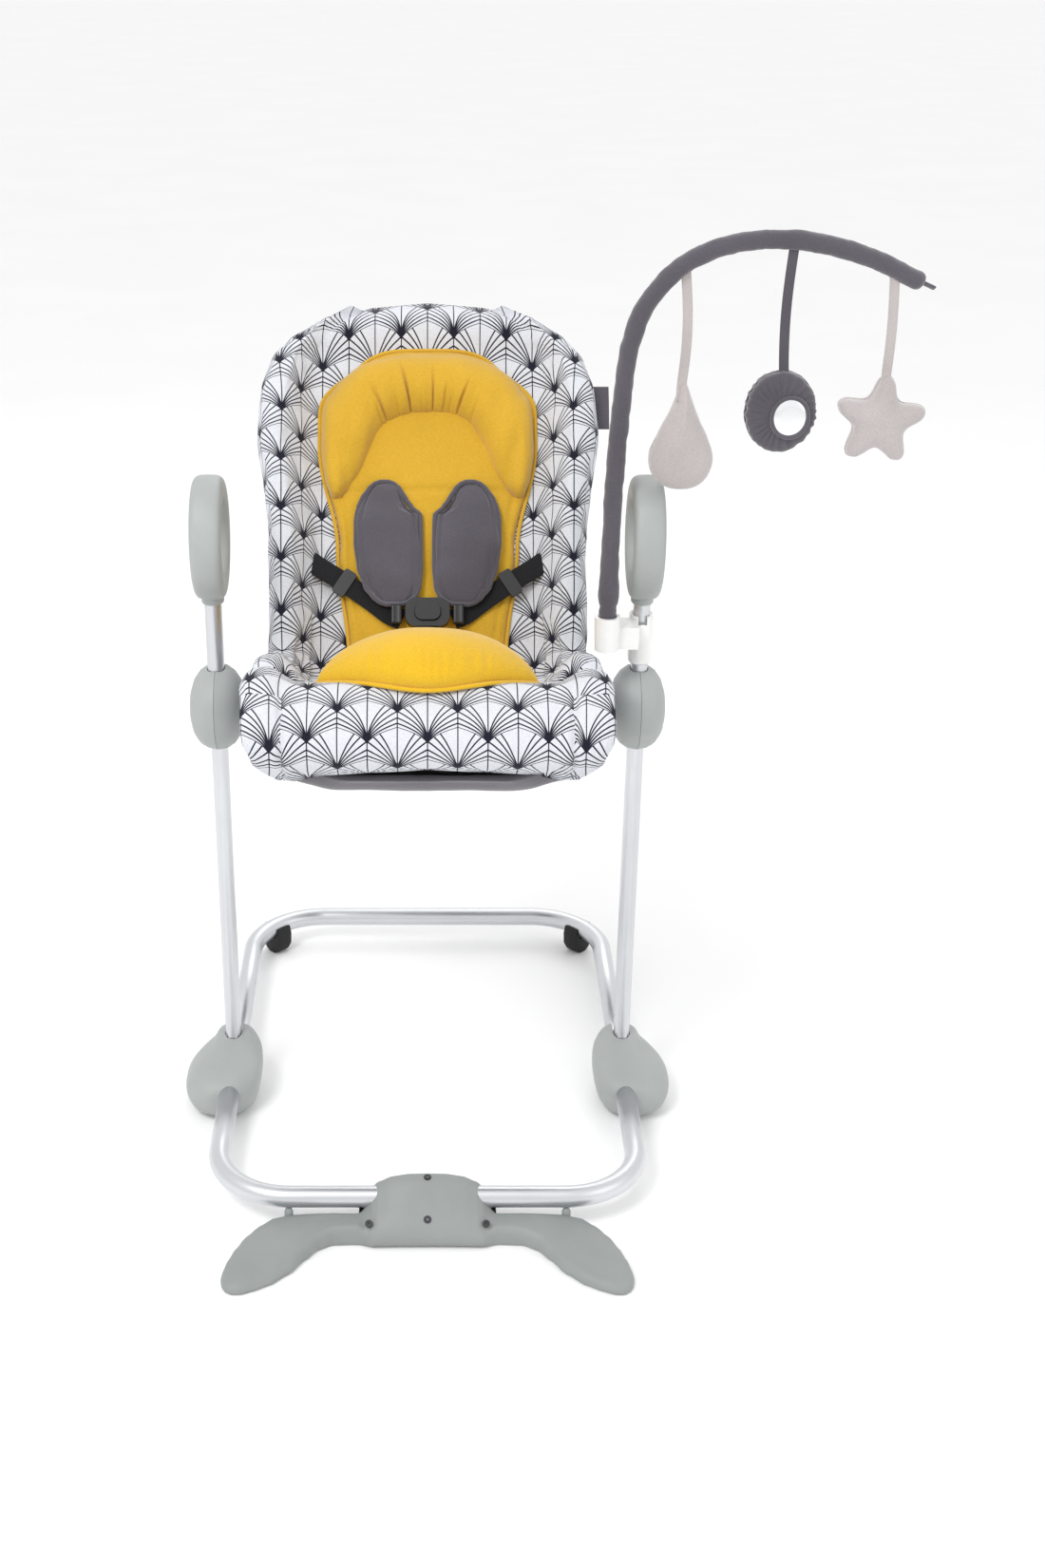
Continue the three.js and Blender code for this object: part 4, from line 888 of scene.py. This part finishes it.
def add_shoulder_pads():
    v = np.linspace(0, 1, 70)[:, None]
    side = np.linspace(-1, 1, 41)[None, :]
    groove = 3.4 * np.exp(-((1 - np.abs(side)) * 37 - 8) ** 2 / 4)
    high = 21 + 13 * crown(side, v, 0.4) - groove
    top = pad_point(v, side, high)
    bottom = pad_point(v, side, 19.5)
    rim_v = np.concatenate([np.linspace(0, 1, 60), np.linspace(1, 0, 60)])
    rim_side = np.concatenate([np.ones(60), -np.ones(60)])
    rim = tube(pad_point(rim_v, rim_side, 22), 2.9, 10, closed=True)
    for name, fix in SIDES:
        pad = mesh_object(f"shoulder_pad_cloth_{name}", fix(shell(top, bottom)), "seat", "dark",
                          f"shoulder_pad_{name}")
        inflate(pad, 3, 2.5)
        wrinkle(pad, 3.2, 30, (1.5, 1, 1), 3.3 if name == "right" else 9.1)
        mesh_object(f"shoulder_pad_piping_{name}", fix(rim), "seat", "dark")


def strap_section(corner, rib, flat, waist):
    """A strap with thicker woven edges, as shares of its half width and half thickness."""
    quarter = [(1, corner), (rib, 1), (flat, waist)]
    upper = quarter + [(-x, y) for x, y in reversed(quarter)]
    return np.array([(-x, -y) for x, y in upper] + upper, float)


def ribbon(path, across, lift, section, half_width, half_thickness):
    """A flat strap along a path, which carries the section across it and through it."""
    rings = path[:, None] + section[None, :, :1] * across * half_width
    rings = rings + section[None, :, 1:] * lift[:, None] * half_thickness
    return loft(rings)


def strap(stations, width, thickness=1.7):
    """Webbing through stations of share along the seat, x and height."""
    line = Line(seat_point(*np.array(stations, float).T))
    count = max(12, int(line.length / 3))
    s = np.linspace(0, 1, count)
    centre, along = line.spot(s), line.along(s)
    spots = Line(np.array(stations, float) * (1000, 1, 1)).spot(s) / (1000, 1, 1)
    up = seat_point(spots[:, 0], spots[:, 1], spots[:, 2] + 1) - seat_point(*spots.T)
    across = np.cross(along, up)
    across /= np.linalg.norm(across, axis=1, keepdims=True)
    lift = np.cross(across, along)
    section = strap_section(0.6, 0.94, 0.5, 0.8)
    return ribbon(centre, across[:, None], lift, section, width / 2, thickness / 2)


def add_pair(name, part, body, material, *stands_for):
    """A part of the right side and its mirror image."""
    for side, fix in SIDES:
        nodes = [f"{node}_{side}" for node in stands_for]
        mesh_object(f"{name}_{side}", fix(part), body, material, *nodes)


def add_straps():
    shoulder = strap([(0.722, 46, 16.4), (0.6, 46, 16.6), (0.572, 38, 19), (0.556, 29, 23)], 14)
    add_pair("shoulder_webbing", shoulder, "seat", "webbing", "shoulder_strap")
    waist = strap([(0.622, 140, 17), (0.612, 130, 20.4), (0.587, 98, 21), (0.56, 66, 21),
                   (0.54, 44, 22), (0.533, 30, 25)], 24)
    add_pair("waist_webbing", waist, "seat", "webbing", "waist_strap")
    tongue = strap([(0.527, 36.5, 29), (0.552, 36.5, 29)], 12, 9)
    add_pair("buckle_tongue", tongue, "seat", "black")
    crotch = strap([(0.405, 0, 17), (0.45, 0, 18), (0.48, 0, 19), (0.52, 0, 20)], 25)
    mesh_object("crotch_webbing", crotch, "seat", "webbing", "crotch_strap")


# ------------------------------------------------------------------ tag

def add_tag():
    v, u = np.linspace(0, 1, 24)[:, None], np.linspace(0, 1, 12)[None, :]
    t = mix(0.82, 0.885, v)
    width = look_up(SEAT_WIDTHS, 0.85)
    x = width - 6 + 24 * u
    n = 18 + 2.0 * np.sin(3 * v) * u
    part = shell(seat_point(t, x, n + 0.9), seat_point(t, x, n - 0.9))
    mesh_object("side_tag_cloth", part, "seat", "dark", "side_tag")


# ------------------------------------------------------------------ toy arch

ARCH_LINE = [
    (202.5, 616), (202.5, 661), (202.5, 720), (204.5, 823), (208.8, 896), (213.9, 948), (225, 986.5),
    (242, 1013.5), (265, 1035.5), (300.5, 1054), (350, 1062.5), (401.5, 1060), (456, 1046), (519.5, 1018),
]


def add_arch():
    line = Line(ARCH_LINE)
    s = np.linspace(0, 1, 300)
    flat = line.spot(s)
    path = np.stack([flat[:, 0], np.full(300, float(ARCH_Y)), flat[:, 1]], -1)
    at = s * line.length
    radius = 10.0 + 1.9 * np.exp(-((at - 62) / 16) ** 2) + 0.8 * np.exp(-((at - 95) / 9) ** 2)
    radius = radius - 1.0 * np.exp(-((at - 44) / 1.6) ** 2) - 0.8 * np.exp(-((at - 47.5) / 1.2) ** 2)
    radius = radius * np.where(at < 40, 0.96, 1)
    closing = np.clip((line.length - at) / 9, 0, 1)
    radius = radius * np.sqrt(np.clip(1 - (1 - closing) ** 2, 0.02, 1))
    sleeve = mesh_object("arch_sleeve_cloth", tube(path, radius, 30), "arch", "dark", "arch_sleeve")
    wrinkle(sleeve, 1.1, 16, (1, 1, 1), 6.1)
    wrinkle(sleeve, 0.5, 6, (1, 1, 1.5), 2.6)


# Toys hang at these x, between these heights.
DROP = (269.5, 798, 914)
RING = (380.5, 840, 926.5)
STAR = (487.5, 828, 923.5)


def arch_height(x):
    points = Line(ARCH_LINE).points
    points = points[points[:, 1] > 980]
    return points[np.argmin(np.abs(points[:, 0] - x)), 1]


def toy_strap(x, high, bend):
    """A folded strap from inside the sleeve, with its stitched end on the toy."""
    share = np.linspace(0, 1, 40)
    z = mix(arch_height(x) - ARCH_RADIUS + 3, high - 17, share)
    lean = bend * np.sin(math.pi * share) * 1.2
    depth = ARCH_Y - 1.2 - 9 * smooth(high + 5, high - 17, z)
    path = np.stack([x + lean, depth, z], -1)
    along = np.gradient(path, axis=0)
    along /= np.linalg.norm(along, axis=1, keepdims=True)
    across = np.array([1.0, 0, 0])
    lift = np.cross(along, across)
    return ribbon(path, across, lift, strap_section(0.5, 0.9, 0.7, 0.7), 5.2, 1.3)


def pillow(outline, depth, power, layers=14):
    """A stuffed body whose outline lies in the upright plane of the arch."""
    outline = np.asarray(outline, float)
    centre = outline.mean(0)
    rings = []
    for level in np.linspace(-1, 1, 2 * layers + 1):
        shrink = np.sqrt(max(1 - (abs(level) * 0.985) ** 2, 0))
        xz = centre + (outline - centre) * shrink
        bulge = depth / 2 * np.sign(level) * abs(level) ** power
        rings.append(np.stack([xz[:, 0], np.full(len(xz), ARCH_Y + bulge), xz[:, 1]], -1))
    return loft(rings)


def seam_line(outline, radius=0.9, inset=0.4):
    """A thin bead where the two halves of a toy are sewn together."""
    outline = np.asarray(outline, float)
    path = np.stack([outline[:, 0], np.full(len(outline), float(ARCH_Y)), outline[:, 1]], -1)
    centre = path.mean(0)
    away = path - centre
    path = path - away / np.linalg.norm(away, axis=1, keepdims=True) * inset
    return tube(path, radius, 8, closed=True)


def closed_line(points, count=140):
    """A closed curve through points, evenly spaced."""
    points = np.asarray(points, float)
    looped = np.vstack([points[-2:], points, points[:3]])
    line = Line(looped)
    start = line.at[80] / line.length
    end = line.at[80 + 40 * len(points)] / line.length
    return line.spot(np.linspace(start, end, count, endpoint=False))


def add_toy(body, outline, depth, spec, material, power, bend):
    """A stuffed toy with its seam and its strap, on the body that it swings with."""
    name = f"toy_{body}"
    toy = mesh_object(f"{name}_plush", pillow(outline, depth, power), body, material, name)
    inflate(toy, 3, 3.0)
    wrinkle(toy, 1.2, 22, (1, 1, 1), 5.0)
    mesh_object(f"{name}_seam", seam_line(outline), body, material)
    mesh_object(f"{name}_strap", toy_strap(spec[0], spec[2], bend), body, material)


def drop_outline():
    x, low, high = DROP
    right = [(0, high), (6, high - 14), (13, high - 32), (25, high - 56), (33, high - 74), (34, high - 88),
             (28, high - 103), (16, high - 113), (0, low)]
    left = [(-a, b) for a, b in right[1:-1]][::-1]
    return closed_line([(x + 5 + a, b) for a, b in right + left])


def star_outline():
    x, low, high = STAR
    middle = (low + high) / 2 - 3
    points = []
    for i in range(5):
        for turn, radius in ((-8, 46), (0, 49), (8, 46), (36, 29)):
            angle = 2 * math.pi * i / 5 + math.radians(5 + turn)
            points.append((x - 1 + radius * math.sin(angle), middle + radius * math.cos(angle)))
    return closed_line(points, 160)


def ring_outline():
    x, low, high = RING
    angle = turns(140)
    radius = (high - low) / 2 * (1 + 0.006 * np.cos(11 * angle))
    return np.stack([x - 2 + 0.88 * radius * np.sin(angle), (low + high) / 2 + radius * np.cos(angle)], -1)


def gather_ring(ring):
    """Small radial puckers where the ring's cloth is gathered round the mirror."""
    centre = np.array([RING[0] - 2, ARCH_Y, (RING[1] + RING[2]) / 2]) * MM
    away = coords(ring) - centre
    turn = np.arctan2(away[:, 2], away[:, 0])
    reach = np.hypot(away[:, 0], away[:, 2]) / MM
    puckers = 1.1 * np.sin(26 * turn + 2 * np.sin(3 * turn))
    raise_surface(ring, puckers * smooth(14, 26, reach) * smooth(46, 34, reach))


def add_ring_toy():
    add_toy("ring", ring_outline(), 36, RING, "dark", 0.45, -3)
    gather_ring(bpy.data.objects["toy_ring_plush"])
    x, low, high = RING[0] + 6, RING[1], RING[2]
    middle = (low + high) / 2 - 3
    turn = turns(64)

    def oval(half_width, half_height, forward):
        depth = np.full(64, ARCH_Y - forward)
        return np.stack([x + half_width * np.cos(turn), depth, middle + half_height * np.sin(turn)], -1)

    mesh_object("toy_mirror_rim", tube(oval(19.5, 21.5, 19.0), 2.2, 12, closed=True), "ring", "dark")
    dish = ((1, 15.5), (1, 18.6), (0.96, 19.3), (0.5, 19.8), (0.1, 19.9))
    rings = [oval(share * 19, share * 21, forward) for share, forward in dish]
    mesh_object("toy_mirror_face", loft(rings), "ring", "mirror", "toy_mirror")


def add_toys():
    add_toy("drop", drop_outline(), 46, DROP, "plush", 0.6, 4)
    add_toy("star", star_outline(), 36, STAR, "plush", 0.55, 2)
    add_ring_toy()


# ------------------------------------------------------------------ hard parts

def rounded(corners, radius, per_bend=26):
    """A polyline in a level plane with its corners rounded."""
    corners = np.asarray(corners, float)
    path = [corners[0]]
    for before, here, after in zip(corners, corners[1:], corners[2:]):
        a = (before - here) / np.linalg.norm(before - here)
        b = (after - here) / np.linalg.norm(after - here)
        centre = here + (a + b) * radius
        turn = np.linspace(0, math.pi / 2, per_bend)
        path.extend(centre - b * radius * math.cos(k) - a * radius * math.sin(k) for k in turn)
    path.append(corners[-1])
    return np.array(path)


def hoop(bar_y, end_y, bend):
    """A U of round tube that lies level, with its bar at one y and its ends at the other."""
    corners = [(-HALF_WIDTH, end_y), (-HALF_WIDTH, bar_y), (HALF_WIDTH, bar_y), (HALF_WIDTH, end_y)]
    path = rounded([(x, y, HOOP_Z) for x, y in corners], bend)
    return tube(path, HOOP_RADIUS, 32)


def add_hoops():
    mesh_object("front_hoop_tube", hoop(0, UPRIGHT_Y - 27, 88), "base", "aluminium", "front_hoop")
    mesh_object("rear_hoop_tube", hoop(REAR_Y, UPRIGHT_Y + 34.2, 98), "base", "aluminium", "rear_hoop")


# A ring handle: the height of its middle, its half depth and half height, and its half thickness.
GRIP_Z = 729.5
GRIP_DEPTH = 64
GRIP_HEIGHT = 70.5
GRIP_THICKNESS = 17.5
# The socket under it: height and how much wider it is than the upright.
GRIP_NECK = [(654, 0.985), (654.6, 1.0), (660, 1.02), (668, 1.10), (676, 1.16)]


def squared(turn, power_x, power_y):
    """An ellipse whose corners are filled out: lower powers make it squarer."""
    x, y = np.cos(turn), np.sin(turn)
    return np.sign(x) * np.abs(x) ** power_x, np.sign(y) * np.abs(y) ** power_y


def add_rings():
    rings = []
    for angle in turns(72) - math.pi / 2:
        thick = 12 + 2.5 * math.sin(angle) ** 2
        out = np.array([0, math.cos(angle), math.sin(angle)])
        centre = np.array([HALF_WIDTH, UPRIGHT_Y + (GRIP_DEPTH - thick) * out[1],
                           GRIP_Z + (GRIP_HEIGHT - thick) * out[2]])
        turn = turns(28)
        soft = np.stack(squared(turn, 0.7, 0.5), -1)
        rings.append(centre + thick * soft[:, :1] * out + GRIP_THICKNESS * soft[:, 1:] * np.array([1, 0, 0]))
    turn = turns(40)
    neck = []
    for z, grow in GRIP_NECK:
        neck.append(np.stack([HALF_WIDTH + 12.8 * grow * np.cos(turn),
                              UPRIGHT_Y + 17 * grow * np.sin(turn), np.full(40, float(z))], -1))
    part = joined(loft(rings, True), loft(neck))
    add_pair("ring_handle_shell", part, "stand", "grey", "ring_handle")


# Half of the front foot, from its middle outwards: x, front y, rear y, front top and rear top.
LEAF = [
    (84, -40, -11, 25, 27), (107, -41, -10, 24, 27), (123, -50, -9, 20, 27), (137, -68, -7, 17, 26),
    (153, -92, -6, 15, 25), (174, -111, -11, 14, 24), (190, -120, -24, 13, 22), (204, -126, -42, 13, 20),
    (214, -126, -62, 12, 18), (221, -122, -80, 11, 15), (225, -115, -94, 9, 11), (227, -107, -102, 6, 6),
]
# Section of the foot's raised middle: y and z.
PLATE_SECTION = [
    (-42, 2), (-47, 8), (-48, 18), (-44, 28), (-36.5, 36.5), (-25, 47), (-12, 57.5), (1, 64.7), (12, 62),
    (18, 48), (17, 26), (6, 8), (-12, 2), (-28, 0.6),
]
# Height of the raised middle from its centre outwards.
PLATE_TOPS = [(0, 65.5), (20, 65), (40, 61.5), (55, 54), (62, 48), (68, 40), (74, 31), (84, 27)]
# The foot's screws: the middle of each head and the direction that it is driven in.
SCREW_HEADS = [
    ((0, 1, 65.5), (0, 0, -1)), ((0, -38.5, 36), (0, 0.6, -0.8)), ((66, -38, 30), (0, 0.6, -0.8)),
    ((-66, -38, 30), (0, 0.6, -0.8)),
]
# Section of the arms and paws, as shares of their depth and height.
PAW_SECTION = [
    (0.06, 0), (0, 0.2), (0, 0.5), (0.03, 0.8), (0.12, 0.97), (0.3, 1), (0.5, 1), (0.7, 1), (0.88, 0.97),
    (0.97, 0.8), (1, 0.5), (1, 0.2), (0.93, 0), (0.5, 0),
]


def foot_section(x):
    """The outline of the front foot at x, which turns from the raised middle into the paw."""
    row = [float(look_up([(r[0], r[i]) for r in LEAF], max(x, LEAF[0][0]))) for i in range(1, 5)]
    front, rear, low, high = row
    paw = np.array([(mix(front, rear, a), mix(low, high, a) * b) for a, b in PAW_SECTION])
    middle = np.array(PLATE_SECTION, float)
    middle[:, 1] *= look_up(PLATE_TOPS, x) / PLATE_TOPS[0][1]
    flat = mix(middle, paw, smooth(60, 79, x))
    outline = closed_line(flat, 56)
    return np.stack([np.full(56, float(x)), outline[:, 0], np.maximum(outline[:, 1], 0)], -1)


def add_foot():
    stations = np.concatenate([np.linspace(0, 52, 12), np.linspace(54, 84, 18), np.linspace(88, 204, 26),
                               np.linspace(207, 227, 14)])
    half = [foot_section(x) for x in stations]
    rings = [ring * (-1, 1, 1) for ring in half[:0:-1]] + half
    turn = turns(16)
    nub = [np.stack([158 + r * 5 * np.cos(turn), -9 + r * 5 * np.sin(turn), np.full(16, float(z))], -1)
           for r, z in ((1, 16), (1, 25), (0.8, 27.5), (0.4, 29))]
    part = joined(loft(rings), loft(nub), mirrored(loft(nub)))
    foot = mesh_object("front_foot_shell", part, "base", "foot", "front_foot")
    rooms = []
    for head, aim in SCREW_HEADS:
        rooms.append(tube([np.array(head) + np.array(aim) * reach for reach in (-14, 2.8)], 5.1, 24))
    cut(foot, *rooms)


# A hub from the floor upwards: z, inner x, outer x, front y and rear y from the upright.
HUB_SECTIONS = [
    (6, 222, 284, -72, 22), (8, 218, 292, -80, 28), (14, 214, 299, -85, 32), (24, 211, 303, -87, 34),
    (34, 209, 303, -87, 34), (42, 208, 299, -86, 34), (50, 208, 292, -81, 34), (57, 209, 284, -70, 34),
    (63, 212, 276, -54, 33), (69, 216, 270, -38, 31), (74, 220, 267, -25, 28), (78, 224, 264, -16, 24),
    (80, 228, 260, -10, 20),
]


def cut(obj, *parts):
    """Takes the closed parts out of a mesh."""
    for part in parts:
        data = bpy.data.meshes.new("cutter")
        data.from_pydata((np.asarray(part[0]) * MM).tolist(), [], part[1])
        tool = bpy.data.objects.new("cutter", data)
        bpy.context.scene.collection.objects.link(tool)
        modifier = obj.modifiers.new("cut", "BOOLEAN")
        modifier.object = tool
        modifier.operation = "DIFFERENCE"
        modifier.solver = "EXACT"
        evaluated = obj.evaluated_get(bpy.context.evaluated_depsgraph_get())
        mesh = bpy.data.meshes.new_from_object(evaluated)
        obj.modifiers.remove(modifier)
        obj.data = mesh
        bpy.data.objects.remove(tool)
    split = obj.modifiers.new("edges", "EDGE_SPLIT")
    split.split_angle = math.radians(42)


def hub_part():
    line = Line(HUB_SECTIONS, 10).points
    turn = turns(72)
    soft_x, soft_y = squared(turn, 0.78, 0.78)
    rings = []
    for z, inner, outer, front, rear in line:
        x = (inner + outer) / 2 + (outer - inner) / 2 * soft_x
        y = UPRIGHT_Y + (front + rear) / 2 + (rear - front) / 2 * soft_y
        rings.append(np.stack([x, y, np.full(72, z)], -1))
    return loft(rings)


def upright_slot():
    """Room for the upright, and for its swing towards the back as the stand folds."""
    turn = np.linspace(math.pi, 2 * math.pi, 24)
    half = 10.3
    front = np.stack([HALF_WIDTH + half * np.cos(turn), UPRIGHT_Y - 4.5 + half * np.sin(turn)], -1)
    outline = np.vstack([front, [(HALF_WIDTH + half, UPRIGHT_Y + 60), (HALF_WIDTH - half, UPRIGHT_Y + 60)]])
    return loft([np.column_stack([outline, np.full(len(outline), float(z))]) for z in (50, 120)])


def add_hubs():
    bore = HOOP_RADIUS + 0.9
    front_bore = tube([(HALF_WIDTH, UPRIGHT_Y - y, HOOP_Z) for y in (100, 60, 26)], bore, 40)
    rear_bore = tube([(HALF_WIDTH, UPRIGHT_Y + y, HOOP_Z) for y in (30, 60)], bore, 40)
    for side, fix in SIDES:
        hub = mesh_object(f"hub_shell_{side}", fix(hub_part()), "base", "grey", f"hub_{side}")
        cut(hub, fix(upright_slot()), fix(front_bore), fix(rear_bore))


def polish(obj, material, angle=34):
    """Smooth shading on a CAD piece, with its sharp edges kept."""
    mesh = obj.data
    mesh.materials.clear()
    mesh.materials.append(material)
    custom = mesh.attributes.get("custom_normal")
    if custom:
        mesh.attributes.remove(custom)
    mesh.polygons.foreach_set("use_smooth", [True] * len(mesh.polygons))
    weld = obj.modifiers.new("weld", "WELD")
    weld.merge_threshold = 1e-5
    split = obj.modifiers.new("edges", "EDGE_SPLIT")
    split.split_angle = math.radians(angle)


# Materials of the CAD nodes that are shown as they are, by the start of their names.
KEPT = {
    "aluminium": ("upright",),
    "steel": ("fold_pin", "snap_button", "latch_pin"),
    "screw": ("foot_screw",),
    "grey": ("housing", "recline_hub"),
    "black": ("foot_base_plate", "waist_slider", "buckle"),
    "white": ("arch_clamp", "release_trigger"),
    "rubber": ("rear_foot",),
    "dark": ("arch_tip",),
}


def polish_kept():
    for key, starts in KEPT.items():
        for name, obj in NODES.items():
            if not obj.hide_render and name.startswith(starts):
                polish(obj, M[key])


add_camera()
add_studio()
add_floor()
add_cover()
add_seat_frame()
add_back_panel()
add_insert()
add_bolster()
add_front_cushion()
add_shoulder_pads()
add_straps()
add_tag()
add_arch()
add_toys()
add_hoops()
add_rings()
add_foot()
add_hubs()
polish_kept()
